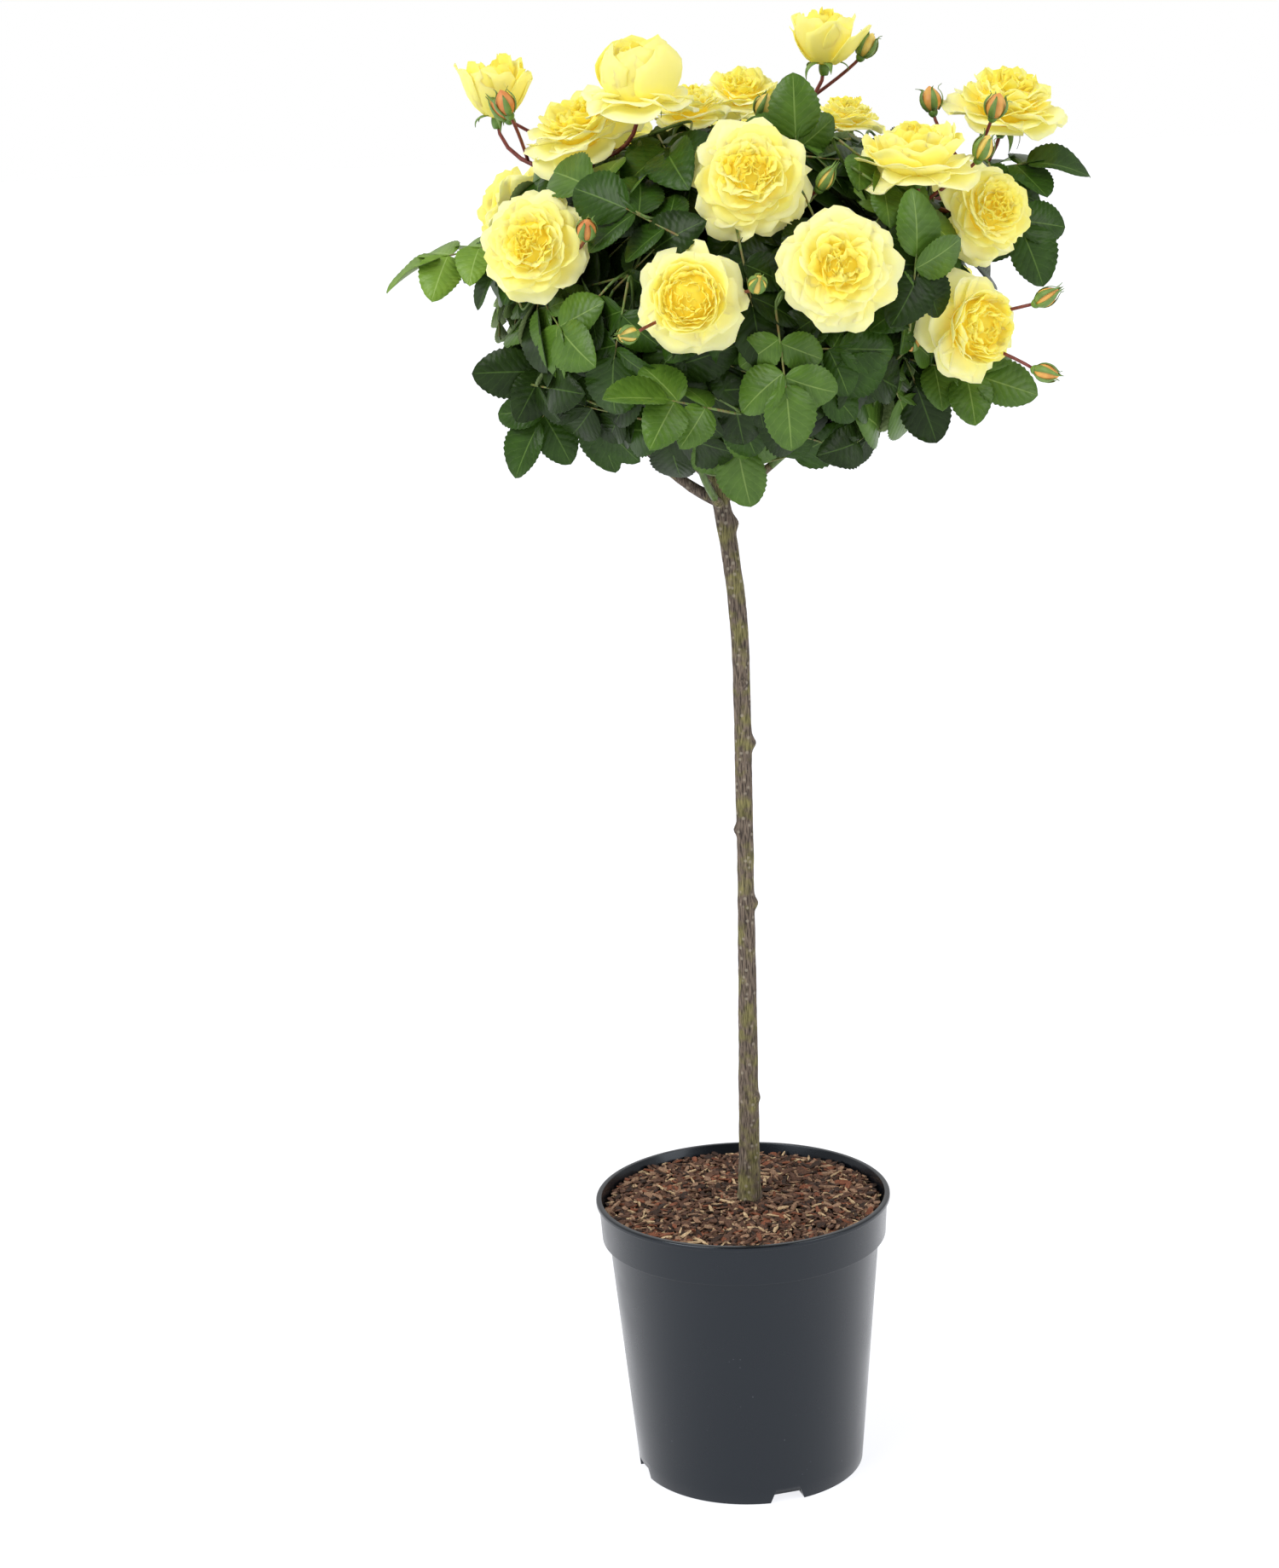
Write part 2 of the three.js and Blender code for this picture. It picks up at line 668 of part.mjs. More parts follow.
// A leaf on a flower's own stalk, at its nth try: it stands out sideways and looks outwards.
function stalkSpray(mass, stalk, others, k, n) {
  const draw = seeded(9000 + 16 * k + n);
  const t = 0.25 + 0.25 * (k % leaf.perFlower) + 0.15 * draw();
  const fork = stepped(stalk, t);
  const rise = unit(sub(stepped(stalk, t + 0.05), fork));
  const out = unit(sub(fork, crown.centre));
  const first = unit(across(rise, Math.abs(rise[2]) > 0.9 ? [0, 1, 0] : UP));
  const turn = k * GOLDEN_ANGLE + (n * Math.PI) / 6;
  const flat = add(scaled(first, Math.cos(turn)), across(rise, first), Math.sin(turn));
  const way = unit(add(flat, rise, 0.1 + 0.5 * draw()));
  const base = add(fork, way, leaf.stalk);
  const look = add(out, UP, 0.5);
  if (Math.abs(dot(way, unit(look))) > 0.93) return null;
  const face = unit(sub(look, scaled(way, dot(way, look))));
  const spray = fitted({ base, along: way, face, scale: 0.84 + 0.2 * draw() }, others);
  if (spray?.mass !== mass) return null;
  return { ...spray, twigCurve: [fork, between(fork, base, 0.5), base], steps: 1 };
}

function growMass(mass) {
  const limb = limbs[mass.name];
  const stemStart = Math.min(1, limb.end + (2 * GAP) / length(sub(mass.hub, limb.curve[0])));
  const stemAt = (t) => bent(limb.curve, stemStart + (1 - stemStart) * t);
  const stemLength = length(sub(stemAt(1), stemAt(0)));
  const nodes = [];
  for (let i = 1; i <= stem.steps; i++) nodes.push({ place: stemAt(i / stem.steps), owner: null });
  const grown = { stemAt, stemLength, twigs: [], sprays: [], flowers: [], buds: [] };
  const planned = sprays.filter((spray) => spray.mass === mass);
  planned.sort((a, b) => length(sub(a.base, mass.hub)) - length(sub(b.base, mass.hub)));

  const rememberNodes = (curve, owner, last) => {
    const steps = Math.max(2, Math.round(length(sub(curve[2], curve[0])) / 14));
    for (let i = 1; i < steps; i++) {
      if (i / steps < last) nodes.push({ place: stepped(curve, i / steps), owner });
    }
  };
  // A twig to a place from the nearest node from which one fits.
  const twigTo = (place, arriving) => {
    const near = [...nodes].sort((a, b) => length(sub(a.place, place)) - length(sub(b.place, place)));
    for (const node of near.slice(0, 12)) {
      for (const bend of [0.4, 0.15, 0.65]) {
        const curve = [node.place, add(place, arriving, -bend * length(sub(place, node.place))), place];
        if (!twigFits(mass, curve, node.owner)) continue;
        rememberNodes(curve, node.owner, 0.75);
        return curve;
      }
    }
    return null;
  };

  for (const flower of flowers.filter((f) => f.mass === mass)) {
    const depth = flowerForms[flower.form] * flower.width;
    const foot = add(flower.place, flower.faces, -0.5 * depth);
    const before = grown.twigs.length;
    const near = [...nodes].sort((a, b) => length(sub(a.place, foot)) - length(sub(b.place, foot)));
    const curve = [near[0].place, add(foot, flower.faces, -0.45 * length(sub(foot, near[0].place))), foot];
    grown.twigs.push({ curve, root: twig.rootRadius, tip: twig.tipRadius });
    rememberNodes(curve, flower, 0.8);
    grown.flowers.push(flower);
    for (let i = 0; i < leaf.perFlower; i++) {
      const k = flowers.indexOf(flower) * leaf.perFlower + i;
      const others = [...planned, ...grown.sprays];
      const spray = bestOf(leaf.tries, (n) => stalkSpray(mass, curve, others, k, n));
      if (spray) grown.sprays.push(spray);
    }
    for (const [turn, lift] of flower.buds.slice(0, bud.modelled)) {
      const out = [Math.cos(turn * DEGREE), Math.sin(turn * DEGREE), 0];
      const place = add(add(flower.place, out, flower.width * 0.5 + bud.width * 0.8), UP, lift);
      const stalk = grown.twigs[before].curve;
      const fork = stepped(stalk, 0.45);
      const bulge = add(between(fork, place, 0.55), out, 10);
      const way = unit(add(sub(place, bulge), UP, 8));
      const budCurve = [fork, bulge, add(place, way, -bud.length * 0.45)];
      if (depthIn(mass, add(place, out, bud.width / 2)) < 2 || depthIn(mass, place) < bud.width / 2) continue;
      grown.twigs.push({ curve: budCurve, root: twig.tipRadius, tip: twig.tipRadius * 0.9 });
      grown.buds.push({ place, way });
    }
  }
  for (const spray of planned) {
    const twigCurve = twigTo(spray.base, spray.along);
    if (twigCurve) grown.sprays.push({ ...spray, twigCurve, steps: twig.steps });
  }
  return grown;
}

// ---- Masses as solids ----

// A leaflet is a thin kite of eight faces, thickest near its root.
function leafletShape({ root, way, face, size }) {
  const shape = new THREE.OctahedronGeometry(1);
  const places = shape.attributes.position;
  for (let i = 0; i < places.count; i++) {
    const forward = Math.abs(places.getY(i)) > 0.5 ? -0.72 : places.getZ(i) - 0.1 * Math.abs(places.getX(i));
    places.setZ(i, forward);
  }
  const sunk = 0.5;
  shape.scale((size * leaf.slender) / 2, leaf.thickness / 2, (size + sunk) / 2);
  return placed(shape, add(root, way, (size + sunk) / 2 - sunk), way, face);
}

function flowerShape({ place, faces, width, form }) {
  const depth = flowerForms[form] * width;
  const half = width / 2;
  const waist = form === "young" ? 0.86 : 0.62;
  const profile = [
    [0, -0.5 * depth - 3],
    [half * waist, -0.22 * depth],
    [half, 0.2 * depth],
    [half * 0.74, 0.44 * depth],
    [0, 0.5 * depth],
  ];
  return placed(turned(profile, 7), place, faces);
}

function budShape({ place, way }) {
  const profile = [
    [0, -bud.length * 0.55],
    [bud.width * 0.42, -bud.length * 0.25],
    [bud.width * 0.5, 0],
    [0, bud.length * 0.5],
  ];
  return placed(turned(profile, 5), place, way);
}

function makeMass(mass) {
  const grown = growMass(mass);
  const stemRadiusAt = (t) => limbRadii.tip + (twig.rootRadius - limbRadii.tip) * t;
  const shapes = [tube(grown.stemAt, stemRadiusAt, stem.sides, stem.steps)];
  for (const { curve, root, tip } of grown.twigs) {
    shapes.push(tube((t) => bent(curve, t), (t) => root + (tip - root) * t, twig.sides, twig.steps));
  }
  for (const { twigCurve, steps, rachis, leaflets } of grown.sprays) {
    const bend = steps / (steps + 1); // the share of the steps before the leaf's own rachis
    const path = (t) => {
      return t < bend ? bent(twigCurve, t / bend) : between(rachis[0], rachis[2], (t - bend) / (1 - bend));
    };
    shapes.push(tube(path, () => leaf.stalkRadius, twig.sides, steps + 1));
    shapes.push(...leaflets.slice(0, leaf.modelled).filter((leaflet) => leaflet).map(leafletShape));
  }
  shapes.push(...grown.flowers.map(flowerShape), ...grown.buds.map(budShape));
  return mainBody(joined(shapes), 0.1);
}

// ---- The whole plant ----

const finishes = {
  pot: { color: 0x2b2e33, roughness: 0.35, metalness: 0 },
  mulch: { color: 0x6b3d26, roughness: 0.95, metalness: 0 },
  bark: { color: 0x6a5a45, roughness: 0.85, metalness: 0 },
  foliage: { color: 0x2f5a22, roughness: 0.45, metalness: 0 },
};

const plant = new THREE.Group();
plant.name = "standard_rose";

function addPart(name, solid, finish) {
  const mesh = new THREE.Mesh(geometryOf(solid), new THREE.MeshStandardMaterial(finishes[finish]));
  mesh.name = name;
  plant.add(mesh);
}

addPart("pot", makePot(), "pot");
addPart("mulch", makeMulch(), "mulch");
const trunkSolid = makeTrunk();
addPart("trunk", trunkSolid, "bark");
for (const [name, solid] of Object.entries(makeLimbs(trunkSolid))) addPart("bough_" + name, solid, "bark");
for (const mass of masses) addPart("mass_" + mass.name, makeMass(mass), "foliage");

export default plant;
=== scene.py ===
# %% [markdown]
# # A standard rose in its nursery pot
# A standard rose is a bush grafted on top of one bare stem. This one has a round head of dark glossy
# leaves with large yellow flowers of many petals, and it stands in a black plastic pot topped with
# chipped bark. The solids of the plant are loaded first and are the measure for what follows. This
# script repeats the rule that they were grown by, and gives each of them its looks: petals, leaflets,
# twigs, bark relief, bark chips and plastic.

# %% Load the solids
import math

import bmesh
import bpy
import numpy as np
from mathutils import Matrix, Vector, noise


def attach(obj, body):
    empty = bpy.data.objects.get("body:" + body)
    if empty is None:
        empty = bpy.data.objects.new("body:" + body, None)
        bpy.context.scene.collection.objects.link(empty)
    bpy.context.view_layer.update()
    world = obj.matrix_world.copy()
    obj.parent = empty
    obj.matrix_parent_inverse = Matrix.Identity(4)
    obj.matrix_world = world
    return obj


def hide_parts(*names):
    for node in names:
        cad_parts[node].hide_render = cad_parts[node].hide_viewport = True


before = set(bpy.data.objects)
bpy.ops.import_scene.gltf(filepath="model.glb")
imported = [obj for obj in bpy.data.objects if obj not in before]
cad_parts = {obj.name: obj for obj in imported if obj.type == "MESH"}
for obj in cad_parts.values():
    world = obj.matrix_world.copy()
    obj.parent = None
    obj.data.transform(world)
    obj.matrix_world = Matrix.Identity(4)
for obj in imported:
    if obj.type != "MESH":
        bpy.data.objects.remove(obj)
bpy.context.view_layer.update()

# %% [markdown]
# ## Small helpers
# Colours are written as the sRGB hex values that a colour picker shows, and one function turns them
# into the linear values that Blender's sockets take. Materials are networks of nodes, so another
# small function adds a node, sets its values and links its inputs. Sizes are written in millimetres
# and turned to metres when a mesh is filled.

# %% Colour, nodes and finished pieces
MM = 0.001
UP = np.array([0.0, 0.0, 1.0])


def linear(hex_colour):
    """An sRGB hex colour as linear RGBA."""
    channels = [int(hex_colour[i : i + 2], 16) / 255 for i in (1, 3, 5)]
    return [c / 12.92 if c <= 0.04045 else ((c + 0.055) / 1.055) ** 2.4 for c in channels] + [1.0]


def add_node(material, kind, settings=None, links=None):
    """Adds a shader node. Settings name its properties or inputs; links name an input and what feeds it."""
    made = material.node_tree.nodes.new("ShaderNode" + kind)
    for key, value in (settings or {}).items():
        if isinstance(key, str) and key in made.bl_rna.properties:
            setattr(made, key, value)
        else:
            made.inputs[key].default_value = value
    for key, output in (links or {}).items():
        material.node_tree.links.new(output, made.inputs[key])
    return made


def new_material(name, base, roughness, **sockets):
    """A material of one Principled shader, with what is the same all over it set on its own sockets."""
    material = bpy.data.materials.new(name)
    material.use_nodes = True
    shader = material.node_tree.nodes["Principled BSDF"]
    shader.inputs["Base Color"].default_value = linear(base)
    shader.inputs["Roughness"].default_value = roughness
    for socket, value in sockets.items():
        shader.inputs[socket.replace("_", " ")].default_value = value
    material.diffuse_color = linear(base)
    return material, shader


def tones(first, second):
    """What sets a Mix node to go from one hex colour to another. Its colour comes out of output 2."""
    return {"data_type": "RGBA", 6: linear(first), 7: linear(second)}


def span(low, high, to_low=0.0, to_high=1.0):
    """What sets a Map Range node to spread the part of a pattern from low to high over a new range."""
    return {"From Min": low, "From Max": high, "To Min": to_low, "To Max": to_high}


def finish_piece(name, bm, materials, replaced=(), smooth=True):
    """Turns a bmesh into a piece of the plant that rides on its one body."""
    for face in bm.faces:
        face.smooth = smooth
    mesh = bpy.data.meshes.new(name)
    bm.to_mesh(mesh)
    bm.free()
    for material in materials:
        mesh.materials.append(material)
    piece = bpy.data.objects.new(name, mesh)
    bpy.context.scene.collection.objects.link(piece)
    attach(piece, "root")
    if replaced:
        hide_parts(*replaced)
    return piece


# %% [markdown]
# ## Camera, room, floor and lamps
# The plant is lit like a catalogue picture. The camera sees the room as plain white, but the light of
# the room comes mostly from the sides and from behind the plant, so the leaves in front stay deep in
# tone. The floor is pale paper that glows a little, which keeps the shadow faint. Two softboxes, a
# strong one on the left and a weaker one on the right, are lamps far away with a wide angle. The
# camera stands as high as the top flowers, 2.5 metres in front, and looks down through a 70 mm lens.

# %% Camera
# In degrees: how far the camera looks down, how far it turns to the right, and its lean.
tilt, pan, roll = (math.radians(a) for a in (13.24, -1.74, -2.23))
ahead = Vector((math.sin(pan) * math.cos(tilt), math.cos(pan) * math.cos(tilt), -math.sin(tilt)))
level = Vector((math.cos(pan), -math.sin(pan), 0))
above = level.cross(ahead)
right = level * math.cos(roll) + above * math.sin(roll)
top = above * math.cos(roll) - level * math.sin(roll)

camera = bpy.data.objects.new("camera", bpy.data.cameras.new("camera"))
camera.data.lens = 70.0
camera.data.sensor_width = 36.0
camera.matrix_world = Matrix((right, top, -ahead)).transposed().to_4x4()
# in metres, from the middle of the pot's foot
camera.location = (0, -2.545, 1.224)
bpy.context.scene.collection.objects.link(camera)
bpy.context.scene.camera = camera
print("camera looks along", [round(c, 3) for c in ahead])

# %% Room, floor and lamps
bpy.context.scene.view_settings.view_transform = "Standard"
room = bpy.data.worlds.new("white room")
room.use_nodes = True
room.node_tree.nodes["Background"].inputs["Color"].default_value = linear("#ffffff")
# the light by its direction: weak from the camera's side, strong from behind the plant
direction = add_node(room, "TexCoord")
split = add_node(room, "SeparateXYZ", {}, {0: direction.outputs["Generated"]})
lighting = add_node(room, "MapRange", span(-0.85, 0.35, 0.12, 0.72), {"Value": split.outputs["Y"]})
# what the camera sees of the room itself is white all over
ray = add_node(room, "LightPath")
seen = {0: lighting.outputs["Result"], 1: ray.outputs["Is Camera Ray"]}
strength = add_node(room, "Math", {"operation": "MAXIMUM"}, seen)
room.node_tree.links.new(strength.outputs[0], room.node_tree.nodes["Background"].inputs["Strength"])
bpy.context.scene.world = room

# Studio paper is dull all over, with a grain so fine that it only breaks up the tone.
paper, paper_shader = new_material("white studio paper", "#fafafc", 0.9, Emission_Strength=0.88)
paper_shader.inputs["Emission Color"].default_value = linear("#fafbff")
grain = add_node(paper, "TexNoise", {"Scale": 400.0, "Detail": 2.0})
tone = add_node(paper, "Mix", tones("#868688", "#8a8a8c"), {0: grain.outputs["Fac"]})
paper.node_tree.links.new(tone.outputs[2], paper_shader.inputs["Base Color"])
bm = bmesh.new()
bmesh.ops.create_grid(bm, x_segments=1, y_segments=1, size=40.0)
floor_mesh = bpy.data.meshes.new("floor")
bm.to_mesh(floor_mesh)
bm.free()
floor_mesh.materials.append(paper)
floor = bpy.data.objects.new("floor", floor_mesh)
bpy.context.scene.collection.objects.link(floor)


def add_lamp(name, place, wide, power):
    """A softbox far away: it shines from the side of a place, and its width is an angle in degrees."""
    lamp = bpy.data.lights.new(name, "SUN")
    lamp.angle, lamp.energy = math.radians(wide), power
    holder = bpy.data.objects.new(name, lamp)
    holder.location = place
    holder.rotation_euler = Vector(place).to_track_quat("Z", "Y").to_euler()
    bpy.context.scene.collection.objects.link(holder)


add_lamp("left softbox", (-1.9, -1.7, 2.0), 40, 2.0)
add_lamp("right softbox", (2.1, -1.2, 1.3), 40, 1.0)

# %% [markdown]
# ## The growing rule
# The solids of the head were grown by a seeded rule: the space is shared out between masses, each
# with a hub, a limb and its flowers, and leaves are set on an even spiral wherever they have room.
# The same rule with the same seeds is repeated here, so every flower and twig stands where its solid
# stands. It is then carried on to finer leaves between the first ones, inside the same reach.

# %% Numbers of the rule
# All lengths are in millimetres. A spiral with the golden angle between its steps fills a ball evenly.
GOLDEN_ANGLE = math.pi * (3 - math.sqrt(5))

# The trunk's foot, bend and top: their heights, how far its middle line is to the right of the pot's,
# and its radii at foot, waist and top, with what the root flare adds.
trunk = dict(foot_z=245.3, head_z=893, foot_x=6, belly_x=13, head_x=-5, bend_z=790)
trunk.update(foot_radius=9.4, flare=2.2, waist_radius=7.1, head_radius=7.6)
# Old bud scars on the trunk: height, turn in degrees, and how far each stands out.
knots = [(340, -40, 3.2), (516, -10, 3.4), (582, 180, 2.8), (658, 0, 3.8), (711, -80, 2.4), (848, -5, 4.2)]

# The head is a squarish ball, drawn in towards its foot. Its power would be 2 for a round ball.
crown_centre = np.array([16.0, -5.0, 1036.0])
crown_radii = np.array([208.0, 200.0, 138.0])
SQUARENESS = 2.8
DRAWN_IN = 0.2
# How far out leaves may reach, and the listed ones, where 1 is the skin of the ball; and how high.
REACH, FAR_REACH, HIGHEST = 1.13, 1.5, 1222.0

# Leaves: places on the spiral and tries at each, the leaves on one flower stalk and the length of
# their twigs, the least distance between leaflets, and what stays free beside a flower's face.
LEAVES, TRIES = 230, 16
PER_FLOWER, STALK = 3, 16.0
APART, BESIDE = 17.0, 14.0
# One leaf: its own stalk, where its pairs of leaflets sit on that, and the lengths of its leaflets.
RACHIS = 60.0
PAIRS, PAIR_LENGTHS, TIP_LENGTH = (0.84, 0.4), (45.0, 38.0), 52.0
# A leaflet: its width by its length, how far a pair splays, and how far its two are out of step.
SLENDER, SPLAY, STAGGER = 0.8, math.radians(62), 1.6
# What a twig and a leaflet keep clear: the edge of their mass's space, the flowers and the limbs.
TWIG_CLEAR, LEAFLET_CLEAR = (3.5, 3, 5), (3, 1, 9)

# Flowers and buds: the depth of a flower by its width, its radius by its width as an obstacle, and
# the length and width of a bud.
DEPTHS = {"open": 0.52, "cup": 0.66, "young": 1.1}
FLOWER_REACH = 0.43
BUD_LENGTH, BUD_WIDTH = 25.0, 15.0
# Radii of twigs and limbs: where they start, also for a limb that starts on a limb, and their ends.
TWIG_ROOT, TWIG_TIP = 2.3, 1.5
LIMB_ROOT, SIDE_ROOT, LIMB_TIP = 5.4, 4.4, 3.4
# A limb ends this deep in its mass's space. The space is shared by rooms round hubs, flowers (past
# their edges) and listed leaves.
ENTERING = 14.0
HUB_ROOM, FLOWER_ROOM, LEAF_ROOM = 48.0, 4.0, 38.0

# %% The masses of the head
# Each mass: name, hub, the limb's carrier, place on it and rise, then its flowers as place, way it
# faces, width, form and buds (turn, lift), and its far-reaching leaves as place, way and face.
MASSES = [
    ("left", (-108, -76, 1048), ("trunk", 0.985, 0.5),
     [((-142, -130, 1092), (-0.3, -0.9, 0.3), 92, "open", [(-38, 12)])],
     [((-214, -40, 1080), (-0.98, -0.1, -0.2), (0, -0.4, 0.92)),
      ((-214, 6, 1110), (-0.95, 0.1, 0.1), (0.1, -0.35, 0.93))]),
    ("left_top", (-98, -26, 1138), ("left", 0.42, 0.75),
     [((-173, 0, 1216), (0, -0.08, 1), 52, "young", [(-75, -16)]),
      ((-106, -36, 1188), (-0.33, -0.35, 0.88), 106, "open", [(-100, -32), (165, 6)]),
      ((-54, -90, 1222), (0.03, -0.12, 1), 88, "cup", [(70, 12)])],
     []),
    ("top", (24, -2, 1142), ("trunk", 0.995, 0.9),
     [((-16, -12, 1194), (-0.1, -0.2, 1), 66, "open", []),
      ((28, 36, 1206), (0.05, -0.45, 0.9), 78, "open", [(-70, -16), (-135, -22)]),
      ((96, 20, 1246), (0, -0.08, 1), 48, "young", [(8, -12)])],
     [((69, -56, 1156), (0.02, -0.15, 1), (0.35, -0.93, 0))]),
    ("front", (34, -112, 1046), ("trunk", 0.978, 0.6),
     [((31, -152, 1140), (0, -0.93, 0.36), 100, "open", [(18, -6)]),
      ((-19, -205, 1051), (-0.1, -0.98, 0.15), 82, "open", [(-10, 10), (205, -24)]),
      ((96, -208, 1071), (0.05, -0.98, 0.15), 94, "open", [(0, 4)])],
     [((-32, -196, 972), (-0.72, -0.3, 0.2), (0.05, -0.75, 0.65)),
      ((52, -188, 988), (0.1, -0.2, -1), (0.05, -0.95, 0.3))]),
    ("right_top", (176, -38, 1108), ("right", 0.5, 0.8),
     [((163, -112, 1160), (0.02, -0.2, 1), 88, "cup", [(170, 2), (20, -8)]),
      ((247, 22, 1189), (0.2, -0.3, 0.93), 104, "open", [(-105, -6), (178, 0)]),
      ((224, -80, 1104), (0.5, -0.83, 0.22), 84, "open", [])],
     [((252, 4, 1134), (0.95, -0.1, 0.12), (-0.1, -0.45, 0.9)),
      ((246, -36, 1092), (0.4, -0.2, -0.85), (0.2, -0.97, 0.1)),
      ((156, -158, 1066), (0.1, -0.12, 1), (0.1, -0.95, 0.2))]),
    ("right", (152, -76, 1010), ("trunk", 0.99, 0.5),
     [((208, -124, 1014), (0.55, -0.83, 0.02), 84, "open", [(5, 22), (172, -10), (-20, -36)])],
     [((202, -82, 974), (0.95, -0.2, -0.25), (0, -0.7, 0.7)),
      ((158, -72, 972), (0.35, -0.1, -0.9), (0.1, -0.9, 0.4))]),
    ("top_back", (72, 78, 1128), ("top", 0.4, 0.8),
     [((116, 104, 1180), (0.1, -0.1, 1), 66, "open", [(150, 0)]),
      ((30, 150, 1176), (-0.1, 0.35, 0.93), 88, "cup", [(60, -8)])], []),
    ("back_left", (-108, 84, 1086), ("trunk", 0.982, 0.55),
     [((-172, 116, 1112), (-0.75, 0.6, 0.35), 88, "open", [(100, 8)]),
      ((-92, 158, 1160), (-0.3, 0.6, 0.75), 96, "open", [(20, -4)])], []),
    ("back", (-6, 126, 1030), ("trunk", 0.978, 0.6),
     [((-62, 204, 1068), (-0.2, 0.95, 0.15), 90, "open", [(160, 14)]),
      ((56, 206, 1040), (0.15, 0.97, 0.1), 84, "open", [(30, 10)])], []),
    ("back_right", (138, 96, 1046), ("trunk", 0.987, 0.55),
     [((172, 166, 1120), (0.4, 0.8, 0.45), 94, "open", [(150, 6)]),
      ((200, 118, 1026), (0.75, 0.65, 0.1), 84, "open", [(80, 12)])], []),
    ("skirt_left", (-92, -24, 956), ("trunk", 0.958, 0.35), [],
     [((-140, -60, 985), (-0.9, -0.2, 0.1), (-0.1, -0.9, 0.4)),
      ((-142, -48, 950), (-0.5, -0.15, -0.8), (-0.1, -0.9, 0.4)),
      ((-100, -14, 952), (0.1, -0.1, -1), (-0.3, -0.9, 0.2))]),
    ("skirt_right", (100, -16, 954), ("trunk", 0.962, 0.35), [],
     [((104, 0, 960), (0.1, 0, -1), (0.8, -0.5, 0.2)),
      ((96, -68, 954), (0.1, -0.1, -1), (0.05, -0.95, 0.3))]),
    ("skirt_front", (-26, -70, 942), ("trunk", 0.952, 0.35), [],
     [((14, -92, 930), (0.15, -0.1, -1), (0, -0.95, 0.3)),
      ((-62, -84, 966), (-0.2, -0.1, -1), (-0.1, -0.95, 0.3))]),
    ("skirt_back", (6, 76, 950), ("trunk", 0.96, 0.35), [], []),
]
print("masses:", len(MASSES), "listed leaves:", sum(len(mass[4]) for mass in MASSES))

# %% Small sums on places


def unit(a):
    """The same direction with a length of 1."""
    a = np.asarray(a, float)
    return a / (np.linalg.norm(a) or 1)


def size_of(a):
    """The length of a step from place to place."""
    return float(np.linalg.norm(a))


def between(a, b, t):
    """The place that is a share of the way from one to another."""
    return np.asarray(a) * (1 - t) + np.asarray(b) * t


def bent(curve, t):
    """A place on the smooth curve from the first of three places to the last, drawn to the second."""
    a, b, c = curve
    return between(between(a, b, t), between(b, c, t), t)


def stepped(curve, t, steps=3):
    """The same curve drawn as a few straight steps, from which the solids fork."""
    i = min(steps - 1, math.floor(t * steps + 1e-9))
    return between(bent(curve, i / steps), bent(curve, (i + 1) / steps), t * steps - i)


def seeded(seed):
    """Numbers from 0 to 1 that are the same on every run."""
    state = [(seed * 2654435761) & 0xFFFFFFFF]

    def draw():
        """The next number of the row."""
        state[0] = (state[0] * 1664525 + 1013904223) & 0xFFFFFFFF
        return state[0] / 4294967296

    return draw


def trunk_at(t):
    """The trunk's middle line from foot to top: a slow bow to the right, then a bend to the left."""
    z = trunk["foot_z"] + (trunk["head_z"] - trunk["foot_z"]) * t
    share = (z - trunk["foot_z"]) / (trunk["bend_z"] - trunk["foot_z"])
    bow = trunk["foot_x"] + (trunk["belly_x"] - trunk["foot_x"]) * math.sin(min(share, 1) * 0.5 * math.pi)
    past = max(0.0, (z - trunk["bend_z"] + 70) / (trunk["head_z"] - trunk["bend_z"] + 70))
    return np.array([bow + (trunk["head_x"] - trunk["belly_x"]) * past * past, 0.0, z])


def trunk_radius_at(t):
    """The trunk's radius: flared at the root, slimmer at the waist and fuller at the graft."""
    flare = trunk["flare"] * math.exp(-t * 40)
    slim = trunk["foot_radius"] + (trunk["waist_radius"] - trunk["foot_radius"]) * min(1, t * 2.2)
    return slim + flare + (trunk["head_radius"] - trunk["waist_radius"]) * max(0, t * 2 - 1)


# %% Who owns a place
NAMES = [mass[0] for mass in MASSES]
flowers = []
sites = []
for m, (_, hub, _, blooms, leaves) in enumerate(MASSES):
    sites.append((m, hub, HUB_ROOM))
    for place, faces, width, form, buds in blooms:
        sites.append((m, place, width / 2 + FLOWER_ROOM))
        where = dict(mass=m, place=np.array(place, float), faces=unit(faces))
        flowers.append(dict(where, width=width, form=form, buds=buds))
    for place, _, _ in leaves:
        sites.append((m, place, LEAF_ROOM))
site_mass = np.array([site[0] for site in sites])
site_place = np.array([site[1] for site in sites], float)
site_room = np.array([site[2] for site in sites], float)
site_apart = np.linalg.norm(site_place[:, None] - site_place[None], axis=2)
flower_place = np.array([flower["place"] for flower in flowers])
flower_faces = np.array([flower["faces"] for flower in flowers])
flower_width = np.array([flower["width"] for flower in flowers], float)
flower_reach = flower_width * FLOWER_REACH
print("rooms:", len(sites), "flowers:", len(flowers))


def owners_of(places):
    """For each place, the mass that owns it and how far the next mass's space is."""
    off = np.atleast_2d(places)[:, None] - site_place[None]
    score = (off**2).sum(2) - site_room**2
    own = score.argmin(1)
    row = np.arange(len(own))
    gap = score - score[row, own][:, None]
    same = site_mass[None] == site_mass[own][:, None]
    apart = np.where(same, np.inf, gap / (2 * np.maximum(site_apart[own], 1e-9)))
    return site_mass[own], apart.min(1)


def depth_in(mass, places):
    """How deep places are in a mass's own space, or -1 outside it. With no mass, any space will do."""
    owner, depth = owners_of(places)
    return np.full(len(owner), 99.0) if mass is None else np.where(owner == mass, depth, -1.0)


def crown_share(places):
    """How far out in the head a place is: 1 on the skin of the squarish ball."""
    off = np.atleast_2d(places) - crown_centre
    narrow = 1 + DRAWN_IN * np.minimum(0, off[:, 2] / np.linalg.norm(off, axis=1))
    off[:, :2] /= narrow[:, None]
    return (np.abs(off / crown_radii) ** SQUARENESS).sum(1) ** (1 / SQUARENESS)


